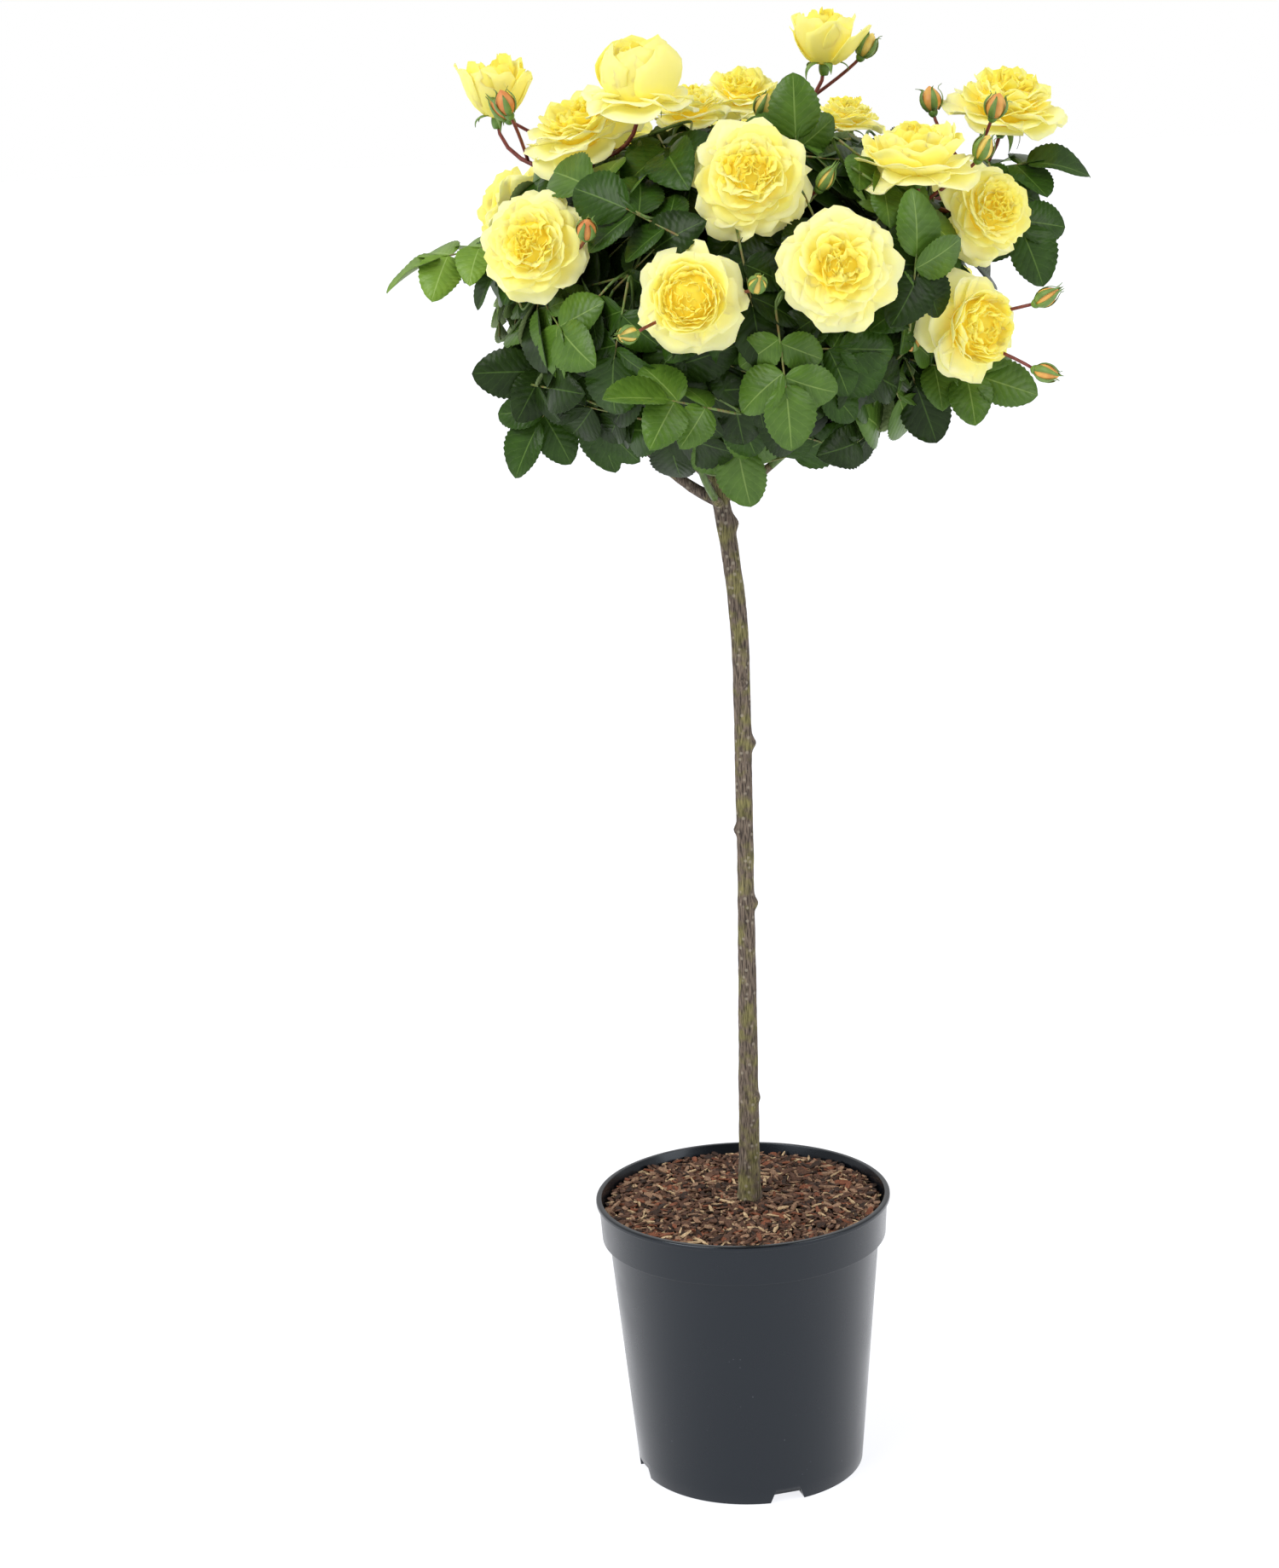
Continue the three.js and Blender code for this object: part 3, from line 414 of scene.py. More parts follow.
# %% The limbs
limbs = {}
for m in sorted(range(len(MASSES)), key=lambda i: MASSES[i][2][0] != "trunk"):
    name, hub, (carrier, at, rise), _, _ = MASSES[m]
    if carrier == "trunk":
        start, root = trunk_at(at), LIMB_ROOT
    else:
        start, root = bent(limbs[carrier]["curve"], at * limbs[carrier]["end"]), SIDE_ROOT
    reach = np.array(hub) - start
    bend = start + unit([reach[0], reach[1], 0]) * size_of(reach) * (0.5 - 0.35 * rise)
    curve = (start, bend + UP * size_of(reach) * 0.5 * rise, np.array(hub, float))
    end = 0.2
    while end < 0.9 and depth_in(m, bent(curve, end))[0] < ENTERING:
        end += 0.01
    limbs[name] = dict(curve=curve, end=end, root=root)
# the limbs as rows of balls, which tell whether a place is clear of them
balls = [(limb, i) for limb in limbs.values() for i in range(17)]
limb_places = np.array([bent(limb["curve"], i / 16 * limb["end"]) for limb, i in balls])
limb_sizes = np.array([limb["root"] + (LIMB_TIP - limb["root"]) * i / 16 for limb, i in balls])
print("limbs:", {name: round(size_of(limb["curve"][2] - limb["curve"][0])) for name, limb in limbs.items()})


def clear_of_limbs(places, spare):
    """For each place, whether it is clear of the limbs and the trunk by this much."""
    places = np.atleast_2d(places)
    apart = np.linalg.norm(places[:, None] - limb_places[None], axis=2)
    clear = (apart >= limb_sizes + spare).all(1)
    for i, place in enumerate(places):
        t = (place[2] - trunk["foot_z"]) / (trunk["head_z"] - trunk["foot_z"])
        if t <= 1.02 and size_of(place - trunk_at(min(t, 1))) <= trunk["head_radius"] + spare:
            clear[i] = False
    return clear


def clear_of_flowers(places, spare, own=None):
    """For each place, whether it is clear of the flowers by this much, apart from its own flower."""
    apart = np.linalg.norm(np.atleast_2d(places)[:, None] - flower_place[None], axis=2)
    clear = apart > flower_reach + spare
    if own is not None:
        clear[:, own] = True
    return clear.all(1)


def twig_fits(mass, curve, own=None):
    """Whether a twig stays in its mass's space, clear of the flowers but its own and of the limbs."""
    edge, flower, limb = TWIG_CLEAR
    places = np.array([bent(curve, i / 10) for i in range(1, 11)])
    if (depth_in(mass, places) < edge).any():
        return False
    return bool(clear_of_flowers(places, flower, own).all() and clear_of_limbs(places, limb).all())


def before_flower(places):
    """Whether any place is before the open face of a flower, or close beside that."""
    off = np.atleast_2d(places)[:, None] - flower_place[None]
    ahead = (off * flower_faces[None]).sum(2)
    aside = np.linalg.norm(off - ahead[:, :, None] * flower_faces[None], axis=2)
    return bool(((ahead > 0) & (aside < flower_width / 2 + BESIDE)).any())


# %% Leaves with room for them
# The places of a leaflet that are tested: how far along it, and how far across by half its width.
PROBES = [(0.1, 0), (0.3, 0.8), (0.3, -0.8), (0.55, 1), (0.55, -1), (0.8, 0.6), (0.8, -0.6), (1, 0)]


def leaflets_of(spray):
    """The leaflets of one leaf from its tip down: where each starts, its way, its face and its length."""
    base, along, face, scale = spray["base"], spray["along"], spray["face"], spray["scale"]
    side = np.cross(face, along)

    def leaflet_at(reach, way, size):
        """One leaflet that starts this far along the leaf's own stalk."""
        look = unit(face - way * way.dot(face))
        return dict(root=base + along * reach, way=way, face=look, size=size * scale)

    found = [leaflet_at(RACHIS * scale - 2.5, unit(along - 0.12 * face), TIP_LENGTH)]
    for share, size in zip(PAIRS, PAIR_LENGTHS):
        for hand in (-1, 1):
            flat = along * math.cos(SPLAY) + side * hand * math.sin(SPLAY)
            reach = RACHIS * scale * share + hand * STAGGER
            found.append(leaflet_at(reach, unit(flat - 0.18 * face), size))
    return found


def leaflet_fits(mass, leaflet, reach):
    """Whether a leaflet has room: inside the head and its mass's space, clear of flowers and limbs."""
    edge, flower, limb = LEAFLET_CLEAR
    way, size = leaflet["way"], leaflet["size"]
    side = np.cross(leaflet["face"], way)
    half = size * SLENDER / 2
    places = np.array([leaflet["root"] + way * size * u + side * half * v for u, v in PROBES])
    if places[:, 2].max() > HIGHEST or crown_share(places).max() > reach:
        return False
    if depth_in(mass, places).min() < edge:
        return False
    return bool(clear_of_flowers(places, flower).all() and clear_of_limbs(places, limb).all())


def spray_at(middle, along, face, scale):
    """A leaf of five leaflets round a middle: where its stalk starts, its way, its face and its scale."""
    way = unit(along)
    look = unit(face - way * way.dot(face))
    return dict(base=middle - way * RACHIS * scale * 0.85, along=way, face=look, scale=scale)


def spiral_spray(k, n, seed=500, count=LEAVES, nearest=0.62, further=0.34):
    """Leaf k of an even spiral over the squarish ball, at its nth try, its blades turned outwards."""
    draw = seeded(seed + 16 * k + n)
    height = 1 - (2 * k + 1) / count
    ring = math.sqrt(1 - height * height)
    turn = k * GOLDEN_ANGLE + 0.5 * (draw() - 0.5)
    out = np.array([ring * math.cos(turn), ring * math.sin(turn), height])
    total = (np.abs(out / crown_radii) ** SQUARENESS).sum()
    reach = total ** (-1 / SQUARENESS) * (nearest + further * draw())
    narrow = 1 + DRAWN_IN * min(0, out[2])
    middle = crown_centre + np.array([out[0] * narrow, out[1] * narrow, out[2]]) * reach
    hang = unit(np.array([0.9 * out[0], 0.9 * out[1], -1.0]))
    down = unit(hang - out * hang.dot(out))
    side = np.cross(out, down)
    swing = math.radians((draw() - 0.5) * 260)
    flat = down * math.cos(swing) + side * math.sin(swing)
    along = flat + out * (0.1 + 0.35 * draw())
    return spray_at(middle, along, out + UP * 0.35, 0.86 + 0.2 * draw())


def fitted(spray, others, reach=REACH, apart=APART, free=False):
    """A spray with the leaflets of it that fit, or nothing if it has no room beside the others."""
    owner = int(owners_of(spray["base"] + spray["along"] * RACHIS * 0.6)[0][0])
    mass = None if free else owner
    rachis = [spray["base"] + spray["along"] * RACHIS * spray["scale"] * t for t in (0, 0.5, 1)]
    if not twig_fits(mass, rachis):
        return None
    leaflets = [leaflet if leaflet_fits(mass, leaflet, reach) else None for leaflet in leaflets_of(spray)]
    if leaflets[0] is None or (leaflets[1] is None and leaflets[2] is None):
        return None
    middles = np.array([l["root"] + l["way"] * l["size"] / 2 for l in leaflets if l])
    if reach != FAR_REACH and before_flower(middles):
        return None
    if others:
        taken = np.concatenate([other["middles"] for other in others])
        if (np.linalg.norm(taken[:, None] - middles[None], axis=2) < apart).any():
            return None
    return dict(spray, mass=owner, rachis=rachis, leaflets=leaflets, middles=middles)


def best_of(tries, spray_of):
    """The first of a number of tries with every leaflet, or else the one with the most."""
    best = None
    for n in range(tries):
        spray = spray_of(n)
        if spray and (best is None or len(spray["middles"]) > len(best["middles"])):
            best = spray
        if best and len(best["middles"]) == 5:
            break
    return best


# %% The leaves that the solids have
sprays = []
for m, (_, _, _, _, leaves) in enumerate(MASSES):
    for place, along, face in leaves:
        spray = dict(spray_at(np.array(place, float), along, unit(face), 1.0), listed=place)
        spray = fitted(spray, sprays, FAR_REACH)
        sprays += [spray] if spray else []
for k in range(LEAVES):
    spray = best_of(TRIES, lambda n: fitted(spiral_spray(k, n), sprays))
    sprays += [spray] if spray else []
print("planned leaves:", len(sprays), "leaflets:", sum(len(spray["middles"]) for spray in sprays))

# %% Twigs to the flowers, buds and leaves


def stalk_spray(mass, stalk, others, k, n):
    """A leaf on a flower's own stalk, at its nth try: it stands out sideways and looks outwards."""
    draw = seeded(9000 + 16 * k + n)
    # the leaves fork off at a quarter, a half and three quarters of the stalk, or a little further
    t = 0.25 + 0.25 * (k % PER_FLOWER) + 0.15 * draw()
    fork = stepped(stalk, t)
    rise = unit(stepped(stalk, t + 0.05) - fork)
    out = unit(fork - crown_centre)
    first = unit(np.cross(rise, [0, 1, 0] if abs(rise[2]) > 0.9 else UP))
    turn = k * GOLDEN_ANGLE + n * math.pi / 6
    flat = first * math.cos(turn) + np.cross(rise, first) * math.sin(turn)
    way = unit(flat + rise * (0.1 + 0.5 * draw()))
    base = fork + way * STALK
    look = out + UP * 0.5
    if abs(way.dot(unit(look))) > 0.93:
        return None
    face = unit(look - way * way.dot(look))
    spray = fitted(dict(base=base, along=way, face=face, scale=0.84 + 0.2 * draw()), others)
    if not spray or spray["mass"] != mass:
        return None
    return dict(spray, twig=(fork, between(fork, base, 0.5), base))


def foot_of(flower):
    """Where a flower sits on its stalk: half its depth behind its middle."""
    return flower["place"] - flower["faces"] * 0.5 * DEPTHS[flower["form"]] * flower["width"]


def grow(mass):
    """Everything that one mass carries: its stem, twigs, leaves, flowers and buds."""
    name, hub, _, _, _ = MASSES[mass]
    limb = limbs[name]
    # the stem of the mass starts about 0.6 mm past the end of its limb
    stem_start = min(1, limb["end"] + 0.6 / size_of(np.array(hub) - limb["curve"][0]))
    nodes = [(bent(limb["curve"], stem_start + (1 - stem_start) * i / 4), None) for i in (1, 2, 3, 4)]
    grown = dict(mass=mass, twigs=[], sprays=[], flowers=[], buds=[])
    planned = sorted((s for s in sprays if s["mass"] == mass), key=lambda s: size_of(s["base"] - hub))

    def remember(curve, owner, last):
        """Keeps a place every 14 mm or so on a twig, up to a share of it, where later ones can fork."""
        steps = max(2, math.floor(size_of(curve[2] - curve[0]) / 14 + 0.5))
        nodes.extend((stepped(curve, i / steps), owner) for i in range(1, steps) if i / steps < last)

    def twig_to(place, arriving, space=mass):
        """A twig to a place from the nearest of twelve nodes with a free way to it, or nothing."""
        for node, owner in sorted(nodes, key=lambda n: size_of(n[0] - place))[:12]:
            for bend in (0.4, 0.15, 0.65):
                curve = (node, place - arriving * bend * size_of(place - node), place)
                if twig_fits(space, curve, owner):
                    remember(curve, owner, 0.75)
                    return curve
        return None

    for f, flower in enumerate(flowers):
        if flower["mass"] != mass:
            continue
        foot = foot_of(flower)
        nearest = min(nodes, key=lambda n: size_of(n[0] - foot))[0]
        stalk = (nearest, foot - flower["faces"] * 0.45 * size_of(foot - nearest), foot)
        grown["twigs"].append(dict(curve=stalk, root=TWIG_ROOT, tip=TWIG_TIP))
        remember(stalk, f, 0.8)
        grown["flowers"].append(f)
        for i in range(PER_FLOWER):
            k = f * PER_FLOWER + i
            others = planned + grown["sprays"]
            spray = best_of(TRIES, lambda n: stalk_spray(mass, stalk, others, k, n))
            grown["sprays"] += [spray] if spray else []
        # each bud stands beside its flower, on a thin stalk that forks off and swings out a little
        for b, (turn, lift) in enumerate(flower["buds"]):
            out = np.array([math.cos(math.radians(turn)), math.sin(math.radians(turn)), 0.0])
            place = flower["place"] + out * (flower["width"] * 0.5 + BUD_WIDTH * 0.8) + UP * lift
            fork = stepped(stalk, 0.45)
            bulge = between(fork, place, 0.55) + out * 10
            way = unit(place - bulge + UP * 8)
            near_edge = depth_in(mass, np.array([place + out * BUD_WIDTH / 2, place]))
            if near_edge[0] < 2 or near_edge[1] < BUD_WIDTH / 2:
                continue
            curve = (fork, bulge, place - way * BUD_LENGTH * 0.45)
            grown["twigs"].append(dict(curve=curve, root=TWIG_TIP, tip=TWIG_TIP * 0.9))
            grown["buds"].append(dict(place=place, way=way, index=10 * f + b))
    for spray in planned:
        curve = twig_to(spray["base"], spray["along"])
        if curve is not None:
            grown["sprays"].append(dict(spray, twig=curve))
    grown["twig_to"] = twig_to
    return grown


masses = [grow(m) for m in range(len(MASSES))]
print("leaves:", sum(len(g["sprays"]) for g in masses), "flowers:", sum(len(g["flowers"]) for g in masses))

# %% [markdown]
# A real head has more leaves, between the first ones and behind them. So the rule goes on with further
# seeds: more spirals, closer together and further in, each leaf on its own twig. These may cross from
# one mass's space into the next, but they leave the faces of the flowers free.

# %% Finer growth inside the same reach
# Each spiral: seed, leaves, nearest share of the way out, further share, room between leaflets (mm).
FINER = (
    (20000, 170, 0.74, 0.24, 12.0),
    (30000, 150, 0.5, 0.26, 12.0),
    (40000, 90, 0.24, 0.3, 12.0),
    (50000, 170, 0.78, 0.22, 9.0),
)
shown = [spray for grown in masses for spray in grown["sprays"]]
for seed, count, nearest, further, apart in FINER:
    for k in range(count):
        place_at = lambda n: spiral_spray(k, n, seed, count, nearest, further)
        spray = best_of(8, lambda n: fitted(place_at(n), shown, 1.0, apart, free=True))
        curve = spray and masses[spray["mass"]]["twig_to"](spray["base"], spray["along"], None)
        if curve is None:
            continue
        on_the_way = np.array([bent(curve, t) for t in (0.3, 0.5, 0.7)])
        inside = crown_share(on_the_way).max() < crown_share(curve[2])[0] + 0.02
        if inside and not before_flower(on_the_way):
            spray = dict(spray, twig=curve)
            masses[spray["mass"]]["sprays"].append(spray)
            shown.append(spray)
print("leaves with the finer ones:", len(shown), "leaflets:", sum(len(s["middles"]) for s in shown))

# %% [markdown]
# ## Sheets that are copied many times
# A petal and a leaflet are both thin curved sheets. Each is made once as a flat grid of a few dozen
# faces with a UV map from 0 to 1. A copy is the same grid with its vertices carried to new places,
# so a short function can cup, fold or ruffle each copy in its own way. Twigs, hips and buds are
# copies of a grid that is rolled up into a closed tube.

# %% A sheet and its copies
scratch = bpy.data.meshes.new("scratch")


def new_sheet(columns, rows):
    """A flat grid from -1 to 1 across and 0 to 1 along, with its UV map."""
    bm = bmesh.new()
    bmesh.ops.create_grid(bm, x_segments=columns, y_segments=rows, size=1.0, calc_uvs=False)
    for vert in bm.verts:
        vert.co.y = (vert.co.y + 1) / 2
    layer = bm.loops.layers.uv.new("sheet")
    for face in bm.faces:
        for loop in face.loops:
            loop[layer].uv = ((loop.vert.co.x + 1) / 2, loop.vert.co.y)
    mesh = bpy.data.meshes.new("sheet")
    bm.to_mesh(mesh)
    bm.free()
    return mesh, np.array([vert.co[:] for vert in mesh.vertices])


def add_copy(bm, sheet, places, material=0):
    """Adds a copy of a sheet to a bmesh, with its vertices carried to these places in millimetres."""
    copy = bmesh.new()
    copy.from_mesh(sheet)
    for vert, place in zip(copy.verts, places * MM):
        vert.co = place
    for face in copy.faces:
        face.material_index = material
    copy.to_mesh(scratch)
    bm.from_mesh(scratch)
    copy.free()


def new_tube(sides, steps):
    """A closed tube with its ends capped, as a grid rolled up: x is the turn and y the way along."""
    bm = bmesh.new()
    bmesh.ops.create_grid(bm, x_segments=sides, y_segments=steps, size=1.0)
    for vert in bm.verts:
        turn = vert.co.x * math.pi
        vert.co = (math.cos(turn), math.sin(turn), (vert.co.y + 1) / 2)
    bmesh.ops.remove_doubles(bm, verts=bm.verts, dist=1e-4)
    bmesh.ops.holes_fill(bm, edges=[edge for edge in bm.edges if edge.is_boundary])
    bmesh.ops.recalc_face_normals(bm, faces=bm.faces)
    mesh = bpy.data.meshes.new("tube")
    bm.to_mesh(mesh)
    bm.free()
    return mesh, np.array([vert.co[:] for vert in mesh.vertices])


def along_curve(grid, path, radius_at):
    """Carries the vertices of a straight tube onto a curve, given as a function of 0 to 1."""
    steps = np.unique(np.round(grid[:, 2], 5))
    first = unit(path(0.01) - path(0))
    side = np.array([1.0, 0, 0]) if abs(first[2]) > 0.9 else UP
    places = np.zeros_like(grid)
    for t in steps:
        along = unit(path(min(1, t + 0.02)) - path(max(0, t - 0.02)))
        side = unit(side - along * side.dot(along))
        over = np.cross(side, along)
        ring = np.abs(grid[:, 2] - t) < 1e-4
        flat = grid[ring, 0:1] * side + grid[ring, 1:2] * -over
        places[ring] = path(t) + flat * radius_at(t)
    return places


def add_tube(bm, tube, path, radius_at, material=0):
    """Adds a tube on a curve. Its radius is a function of the way along, from 0 to 1."""
    sheet, grid = tube
    add_copy(bm, sheet, along_curve(grid, path, radius_at), material)


petal_sheet, petal_grid = new_sheet(8, 6)
LEAF_ROWS = 24
leaf_sheet, leaf_grid = new_sheet(2, LEAF_ROWS)
twig_tube = new_tube(6, 6)
print("faces of one petal:", len(petal_sheet.polygons), "leaflet:", len(leaf_sheet.polygons))

# %% [markdown]
# ## Leaves
# A rose leaf has five leaflets on one thin stalk: broad ovals with a finely toothed edge, folded a
# little along the middle and bent down to the tip. The upper side is dark and glossy, because it has
# a waxy skin, and the underside is pale and dull. Each leaflet is a copy of one sheet, and a Solidify
# modifier gives it its thickness and a second material below.

# %% Leaf materials


def veined(name, base, deep, vein, roughness, **sockets):
    """A leaf surface with a pale midrib and side veins that follow the leaflet's own UV map."""
    material, shader = new_material(name, base, roughness, **sockets)
    place = add_node(material, "UVMap", {"uv_map": "sheet"})
    split = add_node(material, "SeparateXYZ", {}, {0: place.outputs["UV"]})
    centred = add_node(material, "Math", {"operation": "SUBTRACT", 1: 0.5}, {0: split.outputs["X"]})
    away = add_node(material, "Math", {"operation": "ABSOLUTE"}, {0: centred.outputs[0]})
    rib = add_node(material, "MapRange", span(0.006, 0.022, 0.8, 0.0), {"Value": away.outputs[0]})
    midrib = rib.outputs["Result"]
    # seven pairs of side veins run forward at about 45 degrees
    slant = add_node(material, "Math", {"operation": "MULTIPLY", 1: 0.62}, {0: away.outputs[0]})
    feed = {0: split.outputs["Y"], 1: slant.outputs[0]}
    ahead = add_node(material, "Math", {"operation": "SUBTRACT"}, feed)
    waves = add_node(material, "Math", {"operation": "MULTIPLY", 1: 2 * math.pi * 7}, {0: ahead.outputs[0]})
    ridges = add_node(material, "Math", {"operation": "SINE"}, {0: waves.outputs[0]})
    crests = add_node(material, "MapRange", span(0.975, 1.0, 0.0, 0.3), {"Value": ridges.outputs[0]})
    side_veins = crests.outputs["Result"]
    veins = add_node(material, "Math", {"operation": "MAXIMUM"}, {0: midrib, 1: side_veins})
    coords = add_node(material, "TexCoord")
    # patches of about 12 mm, lighter and darker
    where = {"Vector": coords.outputs["Object"]}
    patches = add_node(material, "TexNoise", {"Scale": 80.0, "Detail": 2.0}, where)
    share = add_node(material, "MapRange", span(0.3, 0.7), {"Value": patches.outputs["Fac"]})
    skin = add_node(material, "Mix", tones(deep, base), {0: share.outputs["Result"]})
    feed = {0: veins.outputs[0], 6: skin.outputs[2]}
    mix = add_node(material, "Mix", {"data_type": "RGBA", 7: linear(vein)}, feed)
    material.node_tree.links.new(mix.outputs[2], shader.inputs["Base Color"])
    # the blade swells between the side veins
    swell = add_node(material, "Math", {"operation": "SUBTRACT"}, {0: ridges.outputs[0], 1: midrib})
    relief = {"Strength": 0.2, "Distance": 0.0005, "invert": True}
    bump = add_node(material, "Bump", relief, {"Height": swell.outputs[0]})
    material.node_tree.links.new(bump.outputs["Normal"], shader.inputs["Normal"])
    return material


# The upper side of a leaf has a film of wax with an IOR near 1.45, which gives it soft highlights.
# Each green: name, skin, its deeper patches, veins, roughness, and how much the wax shines. The two dark
# greens also serve as painted shade for the leaves deep inside the head.
LEAF_GREENS = (
    ("rose leaf, old and dark, also painted shade", "#263c10", "#1b2d0b", "#4a672a", 0.36, 0.22),
    ("rose leaf, deep green", "#345414", "#28430f", "#618038", 0.36, 0.25),
    ("rose leaf, mid green", "#577a27", "#47681f", "#87a352", 0.4, 0.4),
    ("rose leaf, young and bright", "#82a63a", "#6d932e", "#aac870", 0.42, 0.4),
)
leaf_tops = [veined(*green, IOR=1.45, Specular_IOR_Level=shine) for *green, shine in LEAF_GREENS]
# The underside has no such film, so it is pale and dull.
leaf_under = veined("rose leaf underside", "#8b9f63", "#7a9056", "#aebd88", 0.62)
print("leaf greens:", len(leaf_tops), "and one underside")

# %% Leaflets


def leaflet_places(leaflet, draw):
    """One leaflet's vertices: toothed oval outline, folded along the midrib, bent down to the tip."""
    across, along = leaf_grid[:, 0], leaf_grid[:, 1]
    size = leaflet["size"]
    row = np.round(along * LEAF_ROWS).astype(int)
    outline = np.sin(math.pi * np.clip(along, 0, 1) ** 0.86) ** 0.6
    tooth = np.where(row % 2 == 1, 0.965, 1.03)
    half = size * SLENDER / 2 * outline * tooth
    fold = 0.12 + 0.28 * draw()
    droop = 0.06 + 0.26 * draw()
    wave = 0.03 * size * (draw() - 0.3)
    turn = 6.0 * draw()
    lift = fold * half * np.abs(across) - droop * size * along**2
    lift = lift + wave * np.abs(across) * np.sin(along * 9 + turn + across)
    # each leaflet also rolls a little on its midrib, so that no two catch the light alike
    roll = 1.0 * (draw() - 0.5)
    flat, face = np.cross(leaflet["way"], leaflet["face"]), leaflet["face"]
    side = flat * math.cos(roll) + face * math.sin(roll)
    up = face * math.cos(roll) - flat * math.sin(roll)
    lean = (draw() - 0.5) * 0.16 * size * along**2
    blade = side * (across * half + lean)[:, None] + up * lift[:, None]
    return leaflet["root"] + leaflet["way"] * (along * size)[:, None] + blade


# The greens of the listed leaves, by their places: 0 old and dark, to 3 young and bright. Each has the tone
# its leaf shows, so the darker greens stand partly for age and partly for painted shade.
LISTED_SHADES = {
    (-214, -40, 1080): 3, (-214, 6, 1110): 2, (69, -56, 1156): 2, (-32, -196, 972): 2,
    (52, -188, 988): 2, (252, 4, 1134): 1, (246, -36, 1092): 1, (156, -158, 1066): 2,
    (202, -82, 974): 2, (158, -72, 972): 0, (-140, -60, 985): 0, (-142, -48, 950): 1,
    (-100, -14, 952): 1, (104, 0, 960): 0, (96, -68, 954): 1, (14, -92, 930): 2,
    (-62, -84, 966): 0,
}


def shade_of(spray, draw):
    """Which of the leaf greens a leaf has: the bright ones are young, few, and stand far out, and the
    leaves deeper in the head get only the dark greens, as painted shade.
    """
    if spray.get("listed") in LISTED_SHADES:
        return LISTED_SHADES[spray["listed"]]
    share = float(crown_share(spray["rachis"][2])[0])
    chance = draw()
    # near the skin of the head all four greens are dealt out; further in only the two dark ones, which are
    # painted shade
    if share > 0.85:
        return 3 if chance < 0.06 else 2 if chance < 0.26 else 1 if chance < 0.66 else 0
    return 1 if share > 0.6 and chance < 0.25 else 0


mass_nodes = ["mass_" + name for name in NAMES]
LEAVES_A_PIECE = 120
for first in range(0, len(shown), LEAVES_A_PIECE):
    bm = bmesh.new()
    for i, spray in enumerate(shown[first : first + LEAVES_A_PIECE], first):
        draw = seeded(40000 + i)
        shade = shade_of(spray, draw)
        for leaflet in spray["leaflets"]:
            if leaflet:
                add_copy(bm, leaf_sheet, leaflet_places(leaflet, draw), shade)
    name = f"leaves_{first // LEAVES_A_PIECE + 1}"
    leaves = finish_piece(name, bm, leaf_tops + [leaf_under] * 4, mass_nodes)
    thicken = leaves.modifiers.new("blade thickness", "SOLIDIFY")
    thicken.thickness, thicken.offset = 0.4 * MM, 0.0
    thicken.material_offset, thicken.material_offset_rim = 4, 0
    print(name, "faces before thickness:", len(leaves.data.polygons))

# %% [markdown]
# ## Twigs and flower stalks
# Young rose wood is green and turns brown with age, and the stalks of the flowers are a dark
# red-brown. Every twig is a tapering tube on the curve that the growing rule gave it.

# %% Twig materials


def streaked(name, first, second, roughness):
    """Smooth young bark with streaks along the shoot."""
    material, shader = new_material(name, first, roughness)
    coords = add_node(material, "TexCoord")
    where = {"Vector": coords.outputs["Object"]}
    squeeze = add_node(material, "Mapping", {"Scale": (1.0, 1.0, 0.25)}, where)
    # streaks about 3 mm wide
    settings = {"Scale": 330.0, "Detail": 3.0}
    streaks = add_node(material, "TexNoise", settings, {"Vector": squeeze.outputs["Vector"]})
    share = add_node(material, "MapRange", span(0.35, 0.65), {"Value": streaks.outputs["Fac"]})
    tone = add_node(material, "Mix", tones(first, second), {0: share.outputs["Result"]})
    material.node_tree.links.new(tone.outputs[2], shader.inputs["Base Color"])
    relief = {"Strength": 0.3, "Distance": 0.0002}
    bump = add_node(material, "Bump", relief, {"Height": streaks.outputs["Fac"]})
    material.node_tree.links.new(bump.outputs["Normal"], shader.inputs["Normal"])
    return material


# Young wood has a smooth green skin, which gives it a satin look.
green_wood = streaked("green rose wood", "#5f7a35", "#4c6228", 0.5)
red_stalk = streaked("red-brown flower stalk", "#6b2a22", "#8a4034", 0.45)
leaf_stalk = streaked("leaf stalk", "#6d8c42", "#7f6a3c", 0.5)
print("twig skins:", green_wood.name, "/", red_stalk.name, "/", leaf_stalk.name)

# %% Twigs
bm = bmesh.new()
for grown in masses:
    limb = limbs[NAMES[grown["mass"]]]
    path = lambda t: bent(limb["curve"], limb["end"] + (1 - limb["end"]) * t)
    add_tube(bm, twig_tube, path, lambda t: LIMB_TIP + (TWIG_ROOT - LIMB_TIP) * t, 0)
    for twig in grown["twigs"]:
        path = lambda t: bent(twig["curve"], t)
        add_tube(bm, twig_tube, path, lambda t: twig["root"] + (twig["tip"] - twig["root"]) * t, 1)
    for spray in grown["sprays"]:
        path = lambda t: bent(spray["twig"], t)
        add_tube(bm, twig_tube, path, lambda t: 1.5 - 0.4 * t, 0)
        path = lambda t: between(spray["rachis"][0], spray["rachis"][2], t)
        add_tube(bm, twig_tube, path, lambda t: 1.1 - 0.45 * t, 2)
twigs = finish_piece("twigs", bm, [green_wood, red_stalk, leaf_stalk], mass_nodes)
print("twig faces:", len(twigs.data.polygons))

# %% [markdown]
# ## Flowers
# The flowers are of the old full kind: a saucer of broad pale petals, then ring after ring of
# smaller and yellower ones, and a heart of crumpled petals. A petal is a copy of one sheet. Its
# middle line bends from one angle to another as it leaves the base, its sides wrap round the flower,
# and its edge is ruffled. The rings differ only in their numbers, and six sets of rings give the
# looks that one plant has side by side: rosettes, dense buttons, loose ones, globes, bowls and the
# young ones that have just opened.

# %% Petal materials


